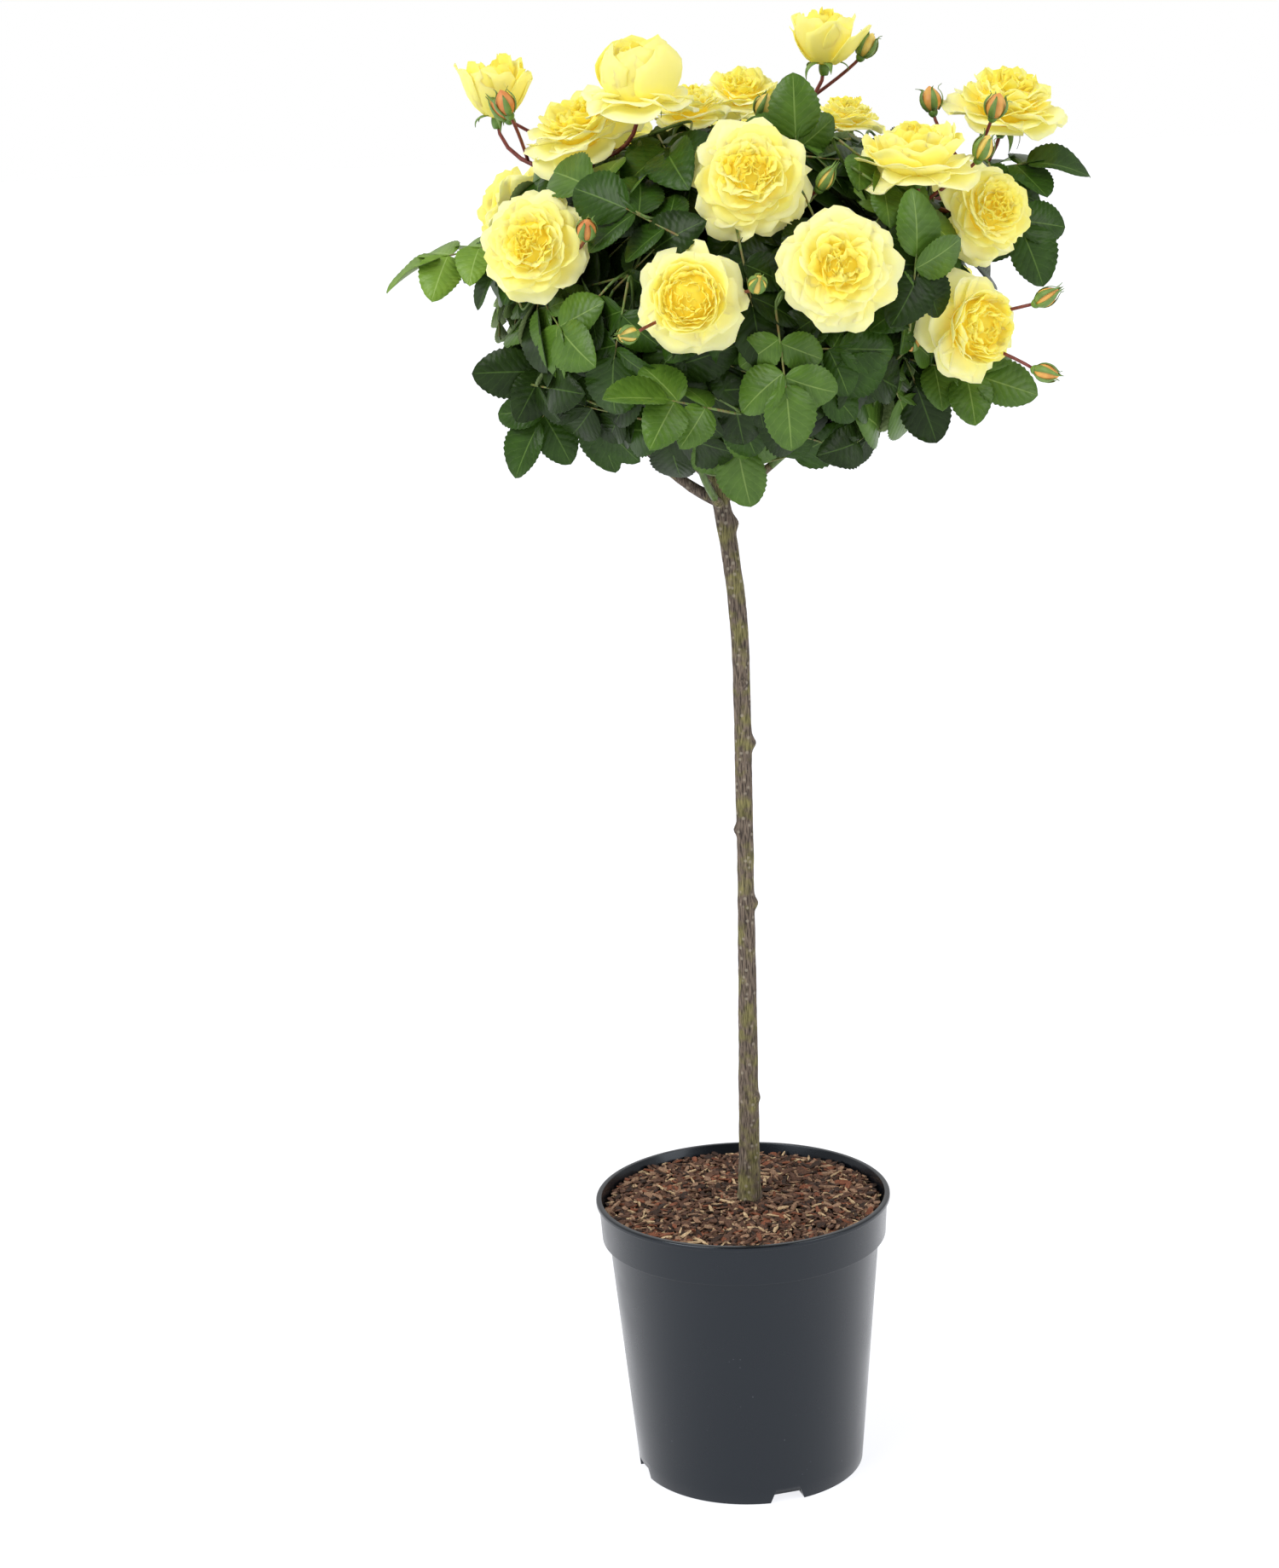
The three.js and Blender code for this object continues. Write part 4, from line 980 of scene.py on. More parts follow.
def petal_material(name, tip, base):
    """Petal skin: matt and soft, a little deeper in colour towards its base, with fine veins along it and a
    faint painted glow.
    """
    material, shader = new_material(name, tip, 0.6)
    shader.inputs["Subsurface Weight"].default_value = 0.75
    shader.inputs["Subsurface Radius"].default_value = (1.0, 0.9, 0.35)
    shader.inputs["Subsurface Scale"].default_value = 0.0012
    shader.inputs["Specular IOR Level"].default_value = 0.2
    # painted glow: a faint emission in the petal's deeper colour stands in for the light that thin petals
    # pass on to the ones below, more than the few bounces of a render show
    shader.inputs["Emission Color"].default_value = linear(base)
    shader.inputs["Emission Strength"].default_value = 0.1
    place = add_node(material, "UVMap", {"uv_map": "sheet"})
    split = add_node(material, "SeparateXYZ", {}, {0: place.outputs["UV"]})
    share = add_node(material, "MapRange", span(0.25, 0.95), {"Value": split.outputs["Y"]})
    tone = add_node(material, "Mix", tones(base, tip), {0: share.outputs["Result"]})
    material.node_tree.links.new(tone.outputs[2], shader.inputs["Base Color"])
    # some 26 veins side by side over the width of a petal
    fan = add_node(material, "Mapping", {"Scale": (26.0, 2.0, 1.0)}, {"Vector": place.outputs["UV"]})
    veins = add_node(material, "TexNoise", {"Scale": 1.0, "Detail": 2.0}, {"Vector": fan.outputs["Vector"]})
    relief = {"Strength": 0.25, "Distance": 0.0004}
    bump = add_node(material, "Bump", relief, {"Height": veins.outputs["Fac"]})
    material.node_tree.links.new(bump.outputs["Normal"], shader.inputs["Normal"])
    return material


# Petal skin is matt and lets light through, and each petal also has a faint painted glow, so a flower glows
# softly. Its inner petals are deeper.
petal_tones = [
    petal_material("rose petal, outer lemon", "#fdf8b4", "#fbf192"),
    petal_material("rose petal, lemon", "#fcf296", "#faea70"),
    petal_material("rose petal, butter", "#fbeb74", "#f9e156"),
    petal_material("rose petal, gold heart", "#fae45e", "#f7d644"),
]
print("petal tones:", len(petal_tones))

# %% Petal shapes
# Each ring: petals, length, width, angle from the axis at the base and at the tip, lip flare, how
# closely it wraps (1 follows the ring), ruffle, crumple, twist in degrees, tone. For a width of 100.
# The bend says how early a petal turns from its first angle to its last: 1 is even, less is earlier.
FORMS = {
    "rosette": (0.9, [
        (6, 53, 50, 62, 104, 10, 0.5, 3.4, 0.4, 10, 0),
        (7, 50, 46, 50, 90, 12, 0.55, 3.0, 0.8, 12, 0),
        (8, 49, 40, 38, 74, 14, 0.65, 2.8, 1.0, 16, 1),
        (10, 49, 37, 30, 56, 12, 0.7, 2.2, 1.0, 34, 1),
        (12, 49, 30, 21, 42, 10, 0.5, 2.0, 1.6, 60, 1),
        (13, 49, 25, 13, 29, 6, 0.4, 1.7, 2.0, 90, 2),
        (13, 47, 20, 5, 17, 0, 0.35, 1.4, 2.4, 120, 3),
        (9, 45, 16, 0, 6, -8, 0.4, 1.0, 2.2, 140, 3),
    ]),
    "button": (0.62, [
        (5, 53, 60, 66, 112, 8, 0.5, 2.4, 0.0, 8, 0),
        (6, 50, 54, 62, 84, 12, 0.6, 2.2, 0.3, 8, 0),
        (8, 55, 42, 86, 14, 12, 0.85, 1.6, 0.5, 8, 1),
        (11, 54, 33, 76, 10, 6, 0.8, 1.4, 0.8, 14, 1),
        (13, 52, 27, 64, 6, 2, 0.75, 1.2, 1.2, 22, 2),
        (13, 50, 23, 50, 2, 0, 0.7, 1.1, 1.4, 34, 2),
        (12, 47, 19, 34, 0, -4, 0.5, 1.0, 2.0, 80, 3),
        (9, 42, 16, 12, 0, -8, 0.4, 1.0, 2.2, 140, 3),
    ]),
    "loose": (0.85, [
        (6, 53, 50, 64, 106, 8, 0.45, 3.8, 0.4, 12, 0),
        (7, 51, 45, 54, 92, 12, 0.5, 3.4, 1.0, 16, 0),
        (8, 49, 39, 42, 76, 14, 0.6, 3.0, 1.2, 22, 0),
        (9, 46, 34, 32, 58, 14, 0.7, 2.2, 1.2, 34, 1),
        (9, 43, 26, 24, 36, 10, 1.0, 1.8, 1.8, 60, 2),
        (8, 40, 20, 14, 20, 4, 1.1, 1.4, 2.2, 110, 2),
        (7, 36, 16, 4, 10, 0, 1.0, 1.2, 2.4, 160, 3),
    ]),
    "globe": (0.8, [
        (5, 53, 58, 74, 112, 10, 0.45, 3.2, 0.0, 6, 0),
        (6, 50, 52, 66, 100, 14, 0.5, 3.2, 0.3, 8, 0),
        (6, 88, 74, 104, -44, 10, 0.95, 2.0, 0.3, 6, 1),
        (7, 82, 60, 98, -46, 8, 0.9, 1.8, 0.6, 8, 1),
        (9, 74, 46, 84, -44, 4, 0.8, 1.6, 1.0, 14, 1),
        (10, 64, 34, 62, -34, 0, 0.6, 1.4, 1.6, 40, 2),
        (9, 54, 24, 30, -12, 0, 0.5, 1.2, 2.0, 90, 2),
    ]),
    "bowl": (0.7, [
        (5, 53, 58, 72, 114, 12, 0.45, 3.4, 0.0, 8, 0),
        (6, 58, 58, 80, 70, 26, 0.6, 3.0, 0.4, 8, 0),
        (7, 64, 54, 90, 20, 30, 0.9, 2.6, 0.4, 8, 1),
        (8, 60, 44, 84, 8, 22, 0.9, 2.2, 0.6, 8, 1),
        (9, 56, 34, 68, 4, 12, 0.8, 1.8, 1.0, 14, 1),
        (10, 52, 27, 48, 0, 4, 0.6, 1.4, 1.6, 40, 2),
        (9, 47, 20, 22, 0, 0, 0.5, 1.1, 2.0, 90, 3),
    ]),
    "young": (0.5, [
        (4, 112, 78, 112, -8, 66, 0.75, 3.5, 0.0, 6, 1),
        (5, 112, 70, 96, -10, 44, 0.85, 3.0, 0.5, 8, 1),
        (6, 108, 54, 78, -8, 26, 0.85, 2.4, 1.0, 12, 2),
        (6, 104, 44, 52, -6, 12, 0.8, 2.0, 1.6, 20, 2),
        (5, 98, 34, 24, -2, 0, 0.7, 1.6, 2.0, 50, 3),
    ]),
}
# Flowers of a look of their own, by their place in the list of flowers. The rest are young or rosettes.
LOOKS = {
    2: "loose", 3: "globe", 5: "loose", 8: "button", 9: "loose", 10: "bowl",
    13: "button", 15: "globe", 17: "button", 19: "loose", 21: "button",
}

# %% One petal
# A turn drawn at random is up to this many radians.
ANY_TURN = 6.28
# The middle line of a petal is summed in this many steps.
PETAL_STEPS = 40


def petal_places(ring, bend, scale, turn, draw):
    """One petal's vertices round the flower's own axis, its base at the origin, in millimetres."""
    _, length, width, low, high, flare, wrap, ruffle, crumple, twist, _ = ring
    across, along = petal_grid[:, 0], petal_grid[:, 1]
    length = 0.93 * length * scale * (0.86 + 0.22 * draw())
    half = width * scale * (0.86 + 0.26 * draw()) / 2
    half = half * (0.2 + 0.8 * np.sin(0.5 * math.pi * np.minimum(1, along / 0.7)) ** 0.9)
    phase, lean = ANY_TURN * draw(), 17 * (draw() - 0.5)
    # a round tip with a small point in the middle and a wavy edge
    edge = 1 - 0.24 * across**2 + 0.04 * (np.abs(across) < 0.1) + 0.05 * np.sin(5 * across + phase)
    reach = np.clip(along * (1 + (edge - 1) * along), 0, 1)
    low, high = math.radians(low + lean), math.radians(high + lean + 10 * (draw() - 0.5))
    # the middle line: how far out and how far up it is after each step
    steps = np.linspace(0, 1, PETAL_STEPS + 1)
    angle = low + (high - low) * steps**bend + math.radians(flare) * steps**6
    out = np.concatenate([[0], np.cumsum(np.sin(angle[:-1]) * length / PETAL_STEPS)]) + 3.0 * scale
    rise = np.concatenate([[0], np.cumsum(np.cos(angle[:-1]) * length / PETAL_STEPS)])
    angle_at = np.interp(reach, steps, angle)
    out_at, rise_at = np.interp(reach, steps, out), np.interp(reach, steps, rise)
    # the sides wrap round the flower's axis
    bow = np.maximum(out_at, 6.0 * scale) / wrap
    phi = np.clip(across * half / bow, -1.5, 1.5)
    inward = bow * (1 - np.cos(phi))
    sideways = bow * np.sin(phi)
    inward = inward + ruffle * scale * np.sin(across * 4.2 + phase) * along**3
    inward = inward + crumple * scale * np.sin(across * 7 + along * 9 + 2 * phase) * along**1.5
    places = np.stack(
        [out_at - np.cos(angle_at) * inward, sideways, rise_at + np.sin(angle_at) * inward], axis=1
    )
    # a twist about the petal's own middle line, then the turn about the axis
    spin = math.radians(twist) * 2 * (draw() - 0.5)
    middle = np.array([out_at.mean(), 0, 0])
    c, s = math.cos(spin), math.sin(spin)
    weight = along[:, None]
    off = places - middle
    x, y = off[:, 0] * c - off[:, 1] * s, off[:, 0] * s + off[:, 1] * c
    spun = np.stack([x, y, off[:, 2]], axis=1) + middle
    places = places * (1 - weight) + spun * weight
    c, s = math.cos(turn), math.sin(turn)
    x, y = places[:, 0], places[:, 1]
    return np.stack([x * c - y * s, x * s + y * c, places[:, 2]], axis=1)


def frame_of(axis):
    """Three directions at right angles, the last of them the axis."""
    z = unit(axis)
    x = unit(np.cross([1.0, 0, 0] if abs(z[2]) > 0.9 else UP, z))
    return np.array([x, np.cross(z, x), z])


# %% Flowers
# The feet of the inner petals are one dome: its height and radius for a width of 100.
CORES = {
    "rosette": (37, 24), "button": (38, 27), "loose": (28, 20),
    "globe": (46, 30), "bowl": (38, 25), "young": (74, 24),
}
core_tube = new_tube(14, 8)
# The flowers are two pieces. The first ends with this one.
LAST_IN_FRONT = 11
counts = 0
bm = bmesh.new()
for f, flower in enumerate(flowers):
    draw = seeded(60000 + 7 * f)
    turned = frame_of(flower["faces"])
    scale = flower["width"] / 100
    base = foot_of(flower)
    look = LOOKS.get(f, "young" if flower["form"] == "young" else "rosette")
    bend, rings = FORMS[look]
    high, wide = (size * scale for size in CORES[look])
    axis = lambda t: base + flower["faces"] * (0.5 + high * t)
    dome = lambda t: wide * max(0.05, math.sin(math.pi * (0.06 + 0.9 * t))) ** 0.6
    add_tube(bm, core_tube, axis, dome, 3)
    for ring in rings:
        start = ANY_TURN * draw()
        for i in range(ring[0]):
            turn = start + (i + 0.6 * (draw() - 0.5)) * 2 * math.pi / ring[0]
            places = petal_places(ring, bend, scale, turn, draw)
            add_copy(bm, petal_sheet, base + places @ turned, ring[-1])
            counts += 1
    if f in (LAST_IN_FRONT, len(flowers) - 1):
        name = "flowers_front" if f == LAST_IN_FRONT else "flowers_back"
        petals = finish_piece(name, bm, petal_tones, mass_nodes)
        thicken = petals.modifiers.new("petal thickness", "SOLIDIFY")
        thicken.thickness, thicken.offset = 0.35 * MM, 0.0
        bm = bmesh.new()
bm.free()
print("petals:", counts)

# %% [markdown]
# ## Sepals, hips and buds
# Under each flower is a small green swelling, the later hip, and five narrow green sepals that bend
# back once the flower is open. On a bud they still wrap the petals, which show apricot at the tip.

# %% Green of the calyx and colour of the buds


def speckled(name, first, second, roughness, scale):
    """Soft plant skin of two close colours in patches, whose size is given in millimetres."""
    material, shader = new_material(name, first, roughness)
    coords = add_node(material, "TexCoord")
    settings = {"Scale": 1000.0 / scale, "Detail": 3.0}
    patches = add_node(material, "TexNoise", settings, {"Vector": coords.outputs["Object"]})
    share = add_node(material, "MapRange", span(0.35, 0.65), {"Value": patches.outputs["Fac"]})
    tone = add_node(material, "Mix", tones(first, second), {0: share.outputs["Result"]})
    material.node_tree.links.new(tone.outputs[2], shader.inputs["Base Color"])
    relief = {"Strength": 0.2, "Distance": 0.0003}
    bump = add_node(material, "Bump", relief, {"Height": patches.outputs["Fac"]})
    material.node_tree.links.new(bump.outputs["Normal"], shader.inputs["Normal"])
    return material


# The calyx is soft and dull, the hip has a thin wax on it, and the buds are silky.
sepal_green = speckled("sepal, soft green", "#7c9c4e", "#67883f", 0.55, 6)
hip_green = speckled("hip, waxy green", "#6f9440", "#5c8236", 0.4, 5)
bud_tones = [
    speckled("rose bud, butter yellow", "#f2d873", "#ecc65c", 0.5, 7),
    speckled("rose bud, apricot", "#eeb65f", "#e39a4c", 0.5, 7),
    speckled("rose bud, coral tip", "#e39a50", "#d98448", 0.5, 6),
]
print("bud tones:", len(bud_tones))

# %% Sepals and buds
sepal_sheet, sepal_grid = new_sheet(2, 8)
bud_tube = new_tube(10, 8)
# Five sepals stand a fifth of a turn apart, in radians.
SEPALS, SEPAL_TURN = 5, 1.2566
# Half the width of a sepal under a flower and of one on a bud, in millimetres.
OPEN_SEPAL, BUD_SEPAL = 4.2, 3.3


def sepal_places(turn, width, radius_at, rise_at):
    """A pointed sepal. Its middle line is given as distance from the axis and rise along it."""
    across, along = sepal_grid[:, 0], sepal_grid[:, 1]
    pointed = 1 - 0.55 * along
    half = width * np.sin(math.pi * np.clip(along * 0.93 + 0.07, 0, 1) ** 0.6) ** 0.8 * pointed
    out, rise = radius_at(along), rise_at(along)
    bow = np.maximum(out, 3.0)
    phi = across * half / bow
    x, y = out + (bow * np.cos(phi) - bow), bow * np.sin(phi)
    c, s = math.cos(turn), math.sin(turn)
    return np.stack([x * c - y * s, x * s + y * c, rise], axis=1)


sepals = bmesh.new()
green = bmesh.new()
for f, flower in enumerate(flowers):
    draw = seeded(70000 + f)
    turned = frame_of(flower["faces"])
    base = foot_of(flower)
    hip = lambda t: base + flower["faces"] * (-9 + 12 * t)
    swollen = lambda t: 1.6 + 3.0 * math.sin(math.pi * min(1, t * 0.8 + 0.1)) ** 0.7
    add_tube(green, bud_tube, hip, swollen, 0)
    back = 1.0 if flower["form"] == "open" else 0.65
    for i in range(SEPALS):
        turn = SEPAL_TURN * i + 0.5 * draw()
        length = (22 + 8 * draw()) * (0.8 + 0.2 * flower["width"] / 100)
        bend = back * (0.7 + 0.6 * draw())
        radius_at = lambda v: 3.5 + length * np.sin(np.clip(v * 1.5, 0, 1.57)) * (0.85 - 0.3 * bend * v)
        rise_at = lambda v: 2.0 + length * (0.1 * v - 0.75 * bend * v**2)
        add_copy(sepals, sepal_sheet, base + sepal_places(turn, OPEN_SEPAL, radius_at, rise_at) @ turned)

for grown in masses:
    for bud in grown["buds"]:
        draw = seeded(75000 + bud["index"])
        turned = frame_of(bud["way"])
        foot = bud["place"] - bud["way"] * BUD_LENGTH * 0.45
        opening = draw()
        wide = 6.2 + 2.6 * opening
        hip = lambda t: foot + bud["way"] * (-4 + 8 * t)
        add_tube(green, bud_tube, hip, lambda t: 1.4 + 2.6 * math.sin(math.pi * t) ** 0.7, 0)
        body = lambda t: foot + bud["way"] * (1.5 + 20 * t)
        profile_at = lambda t: wide * max(0.02, math.sin(math.pi * min(1, 0.08 + 0.92 * t) ** 0.82)) ** 0.7
        add_tube(green, bud_tube, body, profile_at, 1 + int(2.99 * draw()))
        spreading = 0.3 + 7.0 * opening**2
        for i in range(SEPALS):
            turn = SEPAL_TURN * i + 0.3 * draw()
            long = 24 + 6 * draw()
            curl = 6 * draw() * opening

            def radius_at(v):
                """A sepal lies on the bud for most of its length, and its tip curls away."""
                share = np.clip(0.1 + v * 0.92 * long / 24, 0, 1)
                hugging = (wide + 0.6) * np.sin(math.pi * share**0.82) ** 0.7 * (v < 0.8)
                return hugging + (v >= 0.8) * 1.5 + spreading * v**2 + curl * v**5

            rise_at = lambda v: 1.0 + long * v * (1 - 0.25 * opening * v) - 0.6 * curl * v**4
            add_copy(sepals, sepal_sheet, foot + sepal_places(turn, BUD_SEPAL, radius_at, rise_at) @ turned)
calyx = finish_piece("sepals", sepals, [sepal_green], mass_nodes)
calyx.modifiers.new("sepal thickness", "SOLIDIFY").thickness = 0.5 * MM
buds = finish_piece("buds_and_hips", green, [hip_green] + bud_tones, mass_nodes)
print("sepal faces:", len(calyx.data.polygons), "bud faces:", len(buds.data.polygons))

# %% [markdown]
# ## Trunk and boughs
# Old rose wood is grey-brown with olive streaks, thin cracks along it and small pale breathing pores.
# The trunk is a tube of many short rings, so that its ridges and the old bud scars are real relief
# in the mesh and show at the edge of the stem as well. The cracks are finer and left to the material.

# %% Bark material
# Old bark is dry and rough, so it is dull, and its relief shows by shade alone.
bark, bark_shader = new_material("rose bark", "#6a5a45", 0.8)
coords = add_node(bark, "TexCoord")
stretch = add_node(bark, "Mapping", {"Scale": (1.0, 1.0, 0.12)}, {"Vector": coords.outputs["Object"]})
fibres = add_node(bark, "TexNoise", {"Scale": 900.0, "Detail": 6.0}, {"Vector": stretch.outputs["Vector"]})
broad = add_node(bark, "TexNoise", {"Scale": 60.0, "Detail": 5.0}, {"Vector": coords.outputs["Object"]})
share = add_node(bark, "MapRange", span(0.36, 0.64), {"Value": fibres.outputs["Fac"]})
wood = add_node(bark, "Mix", tones("#2f251e", "#7f7061"), {0: share.outputs["Result"]})
olive = add_node(bark, "Mix", tones("#4d4a24", "#8b8450"), {0: share.outputs["Result"]})
patches = add_node(bark, "MapRange", span(0.48, 0.62, 0.0, 0.9), {"Value": broad.outputs["Fac"]})
feed = {0: patches.outputs["Result"], 6: wood.outputs[2], 7: olive.outputs[2]}
old = add_node(bark, "Mix", {"data_type": "RGBA"}, feed)
# breathing pores: pale flecks 1 to 2 mm long, and no two alike
pores = add_node(bark, "TexVoronoi", {"Scale": 150.0}, {"Vector": coords.outputs["Object"]})
fleck = add_node(bark, "MapRange", span(0.14, 0.28, 0.6, 0.0), {"Value": pores.outputs["Distance"]})
feed = {0: fleck.outputs["Result"], 6: old.outputs[2]}
pale = add_node(bark, "Mix", {"data_type": "RGBA", 7: linear("#a39a88")}, feed)
bark.node_tree.links.new(pale.outputs[2], bark_shader.inputs["Base Color"])
bump = add_node(bark, "Bump", {"Strength": 0.6, "Distance": 0.0006}, {"Height": fibres.outputs["Fac"]})
bark.node_tree.links.new(bump.outputs["Normal"], bark_shader.inputs["Normal"])
print("bark nodes:", len(bark.node_tree.nodes))

# %% Trunk
trunk_tube, trunk_grid = new_tube(40, 300)
places = along_curve(trunk_grid, trunk_at, trunk_radius_at)
for i, place in enumerate(places):
    t = trunk_grid[i, 2]
    middle = trunk_at(t)
    out = place - middle
    out[2] = 0
    out = unit(out)
    turn = math.atan2(out[1], out[0])
    # broad ridges and finer ones, in millimetres, and then the scars
    rough = noise.noise(Vector((math.cos(turn) * 2.2, math.sin(turn) * 2.2, place[2] * 0.035))) * 0.7
    rough += noise.noise(Vector((math.cos(turn) * 6.0, math.sin(turn) * 6.0, place[2] * 0.08))) * 0.45
    for z, angle, stand in knots:
        aim = np.array([math.cos(math.radians(angle)), math.sin(math.radians(angle)), 0])
        # a scar fades out over half as much again as it stands out, and over half a radian sideways
        higher = (place[2] - z) / (stand * 1.5)
        aside = math.acos(max(-1, min(1, out.dot(aim)))) / 0.55
        rough += stand * math.exp(-(higher**2) - aside**2)
    if 0 < t < 1:
        places[i] = place + out * rough
bm = bmesh.new()
add_copy(bm, trunk_tube, places)
stem = finish_piece("stem", bm, [bark], ["trunk"])

# %% Boughs
bough_tube, bough_grid = new_tube(14, 24)
bm = bmesh.new()
for name, limb in limbs.items():
    path = lambda t: bent(limb["curve"], t * limb["end"])
    places = along_curve(bough_grid, path, lambda t: limb["root"] + (LIMB_TIP - limb["root"]) * t)
    for i, place in enumerate(places):
        middle = path(float(bough_grid[i, 2]))
        places[i] = place + unit(place - middle) * 0.5 * noise.noise(Vector(place) * 0.15)
    add_copy(bm, bough_tube, places)
boughs = finish_piece("boughs", bm, [bark], ["bough_" + name for name in NAMES])
print("trunk faces:", len(stem.data.polygons), "bough faces:", len(boughs.data.polygons))

# %% [markdown]
# ## Pot
# The pot is injection-moulded polypropylene, black, with a thick collar that stacks and a rounded
# lip. Its outline is turned round the axis, and the drainage notches are cut from its foot.

# %% Pot material
# Moulded polypropylene takes the satin skin of its steel mould, so it shows soft highlights, whose bluish
# tint is a painted reflection of cool light, and dust lies on it in pale specks.
plastic, plastic_shader = new_material(
    "black polypropylene, injection moulded", "#090b0f", 0.26,
    IOR=1.49, Coat_Weight=0.2, Coat_Roughness=0.12, Specular_Tint=linear("#d3e0ee"),
)
coords = add_node(plastic, "TexCoord")
dust = add_node(plastic, "TexVoronoi", {"Scale": 120.0}, {"Vector": coords.outputs["Object"]})
specks = add_node(plastic, "MapRange", span(0.05, 0.09, 1.0, 0.0), {"Value": dust.outputs["Distance"]})
cloud = add_node(plastic, "TexNoise", {"Scale": 14.0, "Detail": 4.0}, {"Vector": coords.outputs["Object"]})
dusty = add_node(plastic, "MapRange", span(0.5, 0.7), {"Value": cloud.outputs["Fac"]})
feed = {0: specks.outputs["Result"], 1: dusty.outputs["Result"]}
some = add_node(plastic, "Math", {"operation": "MULTIPLY"}, feed)
tone = add_node(plastic, "Mix", tones("#0b0e13", "#484c52"), {0: some.outputs[0]})
plastic.node_tree.links.new(tone.outputs[2], plastic_shader.inputs["Base Color"])
satin = add_node(plastic, "MapRange", span(0.3, 0.7, 0.2, 0.34), {"Value": cloud.outputs["Fac"]})
plastic.node_tree.links.new(satin.outputs["Result"], plastic_shader.inputs["Roughness"])
print("plastic nodes:", len(plastic.node_tree.nodes))

# %% Pot
# Its height, the height of its lip and collar, its radii from the rim down, its wall and its floor.
POT = dict(height=251, lip=4.5, collar=38)
POT.update(rim=130, collar_top=127.5, collar_foot=125.5, body_top=119.5, base=100.5, wall=2.2, floor=3)
collar_foot = POT["height"] - POT["collar"]
base_inside = POT["base"] + (POT["body_top"] - POT["base"]) * POT["floor"] / collar_foot - POT["wall"]


def body_at(z):
    """The radius of the wall outside, which widens evenly from the base to the collar."""
    return POT["base"] + (POT["body_top"] - POT["base"]) * z / collar_foot


# From the axis out along the foot, up the outside, over the lip, down the inside and in. The two
# rings just above the notches keep the faces round them short.
profile = [
    (0, 0), (POT["base"], 0), (body_at(14), 14), (body_at(20), 20),
    (POT["body_top"], collar_foot), (POT["collar_foot"], collar_foot + 1.5),
    (POT["collar_top"], POT["height"] - POT["lip"]), (POT["rim"], POT["height"] - POT["lip"] + 0.5),
    (POT["rim"], POT["height"] - 1), (POT["rim"] - 1, POT["height"]),
    (POT["collar_top"] - POT["wall"], POT["height"]), (POT["body_top"] - POT["wall"], collar_foot),
    (base_inside, POT["floor"]), (0, POT["floor"]),
]


def turned_solid(profile, segments):
    """A closed outline from axis to axis, spun into a solid."""
    bm = bmesh.new()
    verts = [bm.verts.new((radius * MM, 0, z * MM)) for radius, z in profile]
    edges = [bm.edges.new(pair) for pair in zip(verts, verts[1:])]
    whole = dict(angle=2 * math.pi, steps=segments, use_merge=True)
    bmesh.ops.spin(bm, geom=verts + edges, cent=(0, 0, 0), axis=(0, 0, 1), **whole)
    bmesh.ops.remove_doubles(bm, verts=bm.verts, dist=1e-5)
    bmesh.ops.recalc_face_normals(bm, faces=bm.faces)
    return bm


bm = turned_solid(profile, 120)
sharp = [e for e in bm.edges if e.is_manifold and e.calc_face_angle(0) > 0.35 and e.calc_length() > 2e-3]
bmesh.ops.bevel(bm, geom=sharp, offset=0.5 * MM, segments=3, profile=0.5, affect="EDGES", material=-1)
pot = finish_piece("pot_shell", bm, [plastic], ["pot"])

# %% Drainage notches
# Each is cut by a block through the wall: its inner and outer ends, half its width at the foot and at
# the top, its height, and the turn of the first one in degrees.
NOTCHES = 4
NOTCH = dict(inner=84.5, outer=145, half_foot=16, half_top=12, height=9, turn=-72)
bm = bmesh.new()
for i in range(NOTCHES):
    cut = bmesh.ops.create_cube(bm, size=1.0)["verts"]
    for vert in cut:
        low = vert.co.z < 0
        out = NOTCH["inner"] if vert.co.x < 0 else NOTCH["outer"]
        wide = NOTCH["half_foot"] if low else NOTCH["half_top"]
        rise = -1 if low else NOTCH["height"]
        vert.co = (out * MM, math.copysign(wide, vert.co.y) * MM, rise * MM)
    turned = Matrix.Rotation(math.radians(NOTCH["turn"] + 360 / NOTCHES * i), 3, "Z")
    bmesh.ops.rotate(bm, verts=cut, cent=(0, 0, 0), matrix=turned)
cutter_mesh = bpy.data.meshes.new("notches")
bm.to_mesh(cutter_mesh)
bm.free()
cutter = bpy.data.objects.new("notches", cutter_mesh)
bpy.context.scene.collection.objects.link(cutter)
cutting = pot.modifiers.new("notches", "BOOLEAN")
cutting.operation, cutting.object, cutting.solver = "DIFFERENCE", cutter, "EXACT"
bpy.context.view_layer.update()
cut_mesh = bpy.data.meshes.new_from_object(pot.evaluated_get(bpy.context.evaluated_depsgraph_get()))
pot.modifiers.clear()
pot.data = cut_mesh
bpy.data.objects.remove(cutter)
print("pot faces:", len(pot.data.polygons))

# %% [markdown]
# ## Bark mulch
# The compost is topped with chipped bark: flat splinters of red-brown bark with some paler wood
# among them. The filling is one turned solid. The chips are copies of one small block, each with its
# own size, turn and torn edges, spread evenly by the golden angle and only just over one another.

# %% Mulch materials


def chip_material(name, dark, light):
    """Chipped bark or wood: dry, so it is dull, with its fibres torn open."""
    material, shader = new_material(name, light, 0.85)
    coords = add_node(material, "TexCoord")
    # fibres about 1.5 mm apart
    settings = {"Scale": 650.0, "Detail": 3.0}
    grain = add_node(material, "TexNoise", settings, {"Vector": coords.outputs["Object"]})
    share = add_node(material, "MapRange", span(0.35, 0.65), {"Value": grain.outputs["Fac"]})
    tone = add_node(material, "Mix", tones(dark, light), {0: share.outputs["Result"]})
    material.node_tree.links.new(tone.outputs[2], shader.inputs["Base Color"])
    relief = {"Strength": 0.5, "Distance": 0.0005}
    bump = add_node(material, "Bump", relief, {"Height": grain.outputs["Fac"]})
    material.node_tree.links.new(bump.outputs["Normal"], shader.inputs["Normal"])
    return material


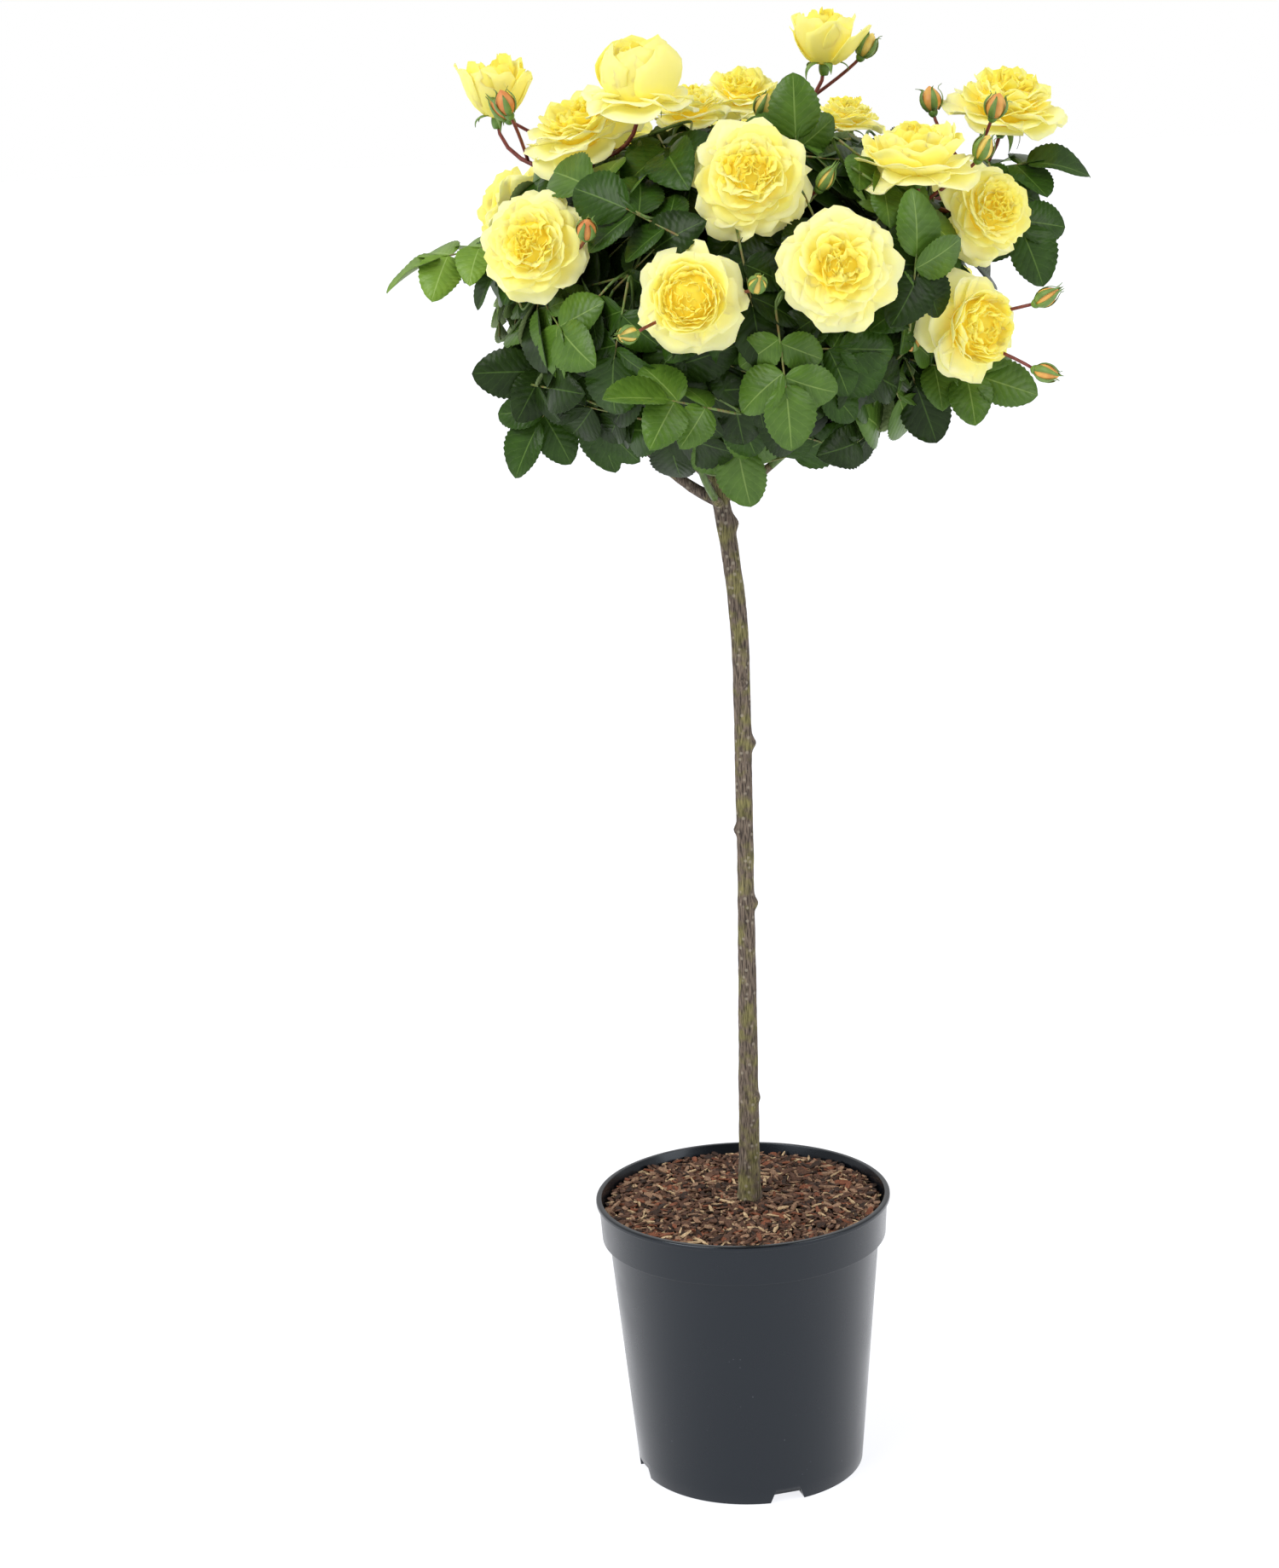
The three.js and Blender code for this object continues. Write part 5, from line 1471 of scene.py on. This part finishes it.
chip_tones = [
    chip_material("pine bark, dark", "#24170f", "#3f2a1e"),
    chip_material("pine bark, brown", "#462e21", "#6a4a38"),
    chip_material("pine bark, russet", "#6a3a26", "#8c5539"),
    chip_material("pine bark, tan", "#7b5a44", "#a5856a"),
    chip_material("split pine wood, pale", "#a98a66", "#d6bd95"),
]
print("chip tones:", len(chip_tones))

# %% Filling of the pot
# Its outline from the axis at the bottom, up along the wall, to the slightly domed top.
MULCH_TOP = 243
filling = [
    (0, 16), (base_inside - 2.5, 16), (116.4, 213), (121.8, 238),
    (62, 242.4), (26, MULCH_TOP), (0, MULCH_TOP),
]
# the filling has the darkest chip tone, so the gaps between the chips show dark: partly the dark bark
# below, partly painted shade
compost = finish_piece("compost", turned_solid(filling, 72), [chip_tones[0]], ["mulch"])
print("compost faces:", len(compost.data.polygons))

# %% Bark chips
# One chip: a block that is cut twice along its length, with slimmer ends.
bm = bmesh.new()
bmesh.ops.create_cube(bm, size=2.0)
lengthwise = [edge for edge in bm.edges if abs(edge.verts[0].co.x - edge.verts[1].co.x) > 1]
bmesh.ops.subdivide_edges(bm, edges=lengthwise, cuts=2)
for vert in bm.verts:
    if abs(vert.co.x) > 0.9:
        vert.co.y *= 0.55
        vert.co.z *= 0.6
chip_mesh = bpy.data.meshes.new("chip")
bm.to_mesh(chip_mesh)
bm.free()
chip_grid = np.array([vert.co[:] for vert in chip_mesh.vertices])

bm = bmesh.new()
CHIPS = 3000
# The tone of a chip is drawn from these, so brown bark is the most common.
CHIP_TONES = (0, 0, 1, 1, 1, 1, 2, 3, 3, 4)
for i in range(CHIPS):
    draw = seeded(80000 + i)
    radius, turn = 120 * math.sqrt((i + draw()) / CHIPS), i * GOLDEN_ANGLE + draw()
    x, y = radius * math.cos(turn), radius * math.sin(turn)
    big = draw()
    long, wide, thick = 2.4 + 6.0 * big**2, 0.8 + 1.9 * draw() * (0.4 + big), 0.4 + 0.6 * draw()
    tone = CHIP_TONES[int(draw() * 10)]
    # split wood comes in slivers
    if tone == 4:
        long, wide = long * 1.15, wide * 0.5
    # short chips beside the trunk and the wall
    if math.hypot(x - trunk["foot_x"], y) < 12 + long * 0.6 or radius + long * 0.7 > 122:
        long *= 0.5
    yaw, pitch, lean = draw() * ANY_TURN, (draw() - 0.5) * 0.9, (draw() - 0.5) * 1.4
    turned = Matrix.Rotation(yaw, 3, "Z") @ Matrix.Rotation(pitch, 3, "Y")
    turned = turned @ Matrix.Rotation(lean, 3, "X")
    # the filling sinks a little towards the wall, and the loose chips lie up to 4 mm above it
    ground = MULCH_TOP - 2.2 * max(0, (radius - 26) / 96) ** 1.5
    torn = [noise.noise(Vector((a * 2 + i, b * 2, c * 2))) for a, b, c in chip_grid]
    chip = chip_grid * [long, wide, thick] + np.array(torn)[:, None] * [0.8, 0.9, 0.4]
    chip = chip @ np.array(turned.transposed()) + [x, y, ground + 0.4 * thick + 3.4 * draw()]
    add_copy(bm, chip_mesh, chip, tone)
chips = finish_piece("bark_chips", bm, chip_tones, smooth=False)
print("chips:", CHIPS, "faces:", len(chips.data.polygons))
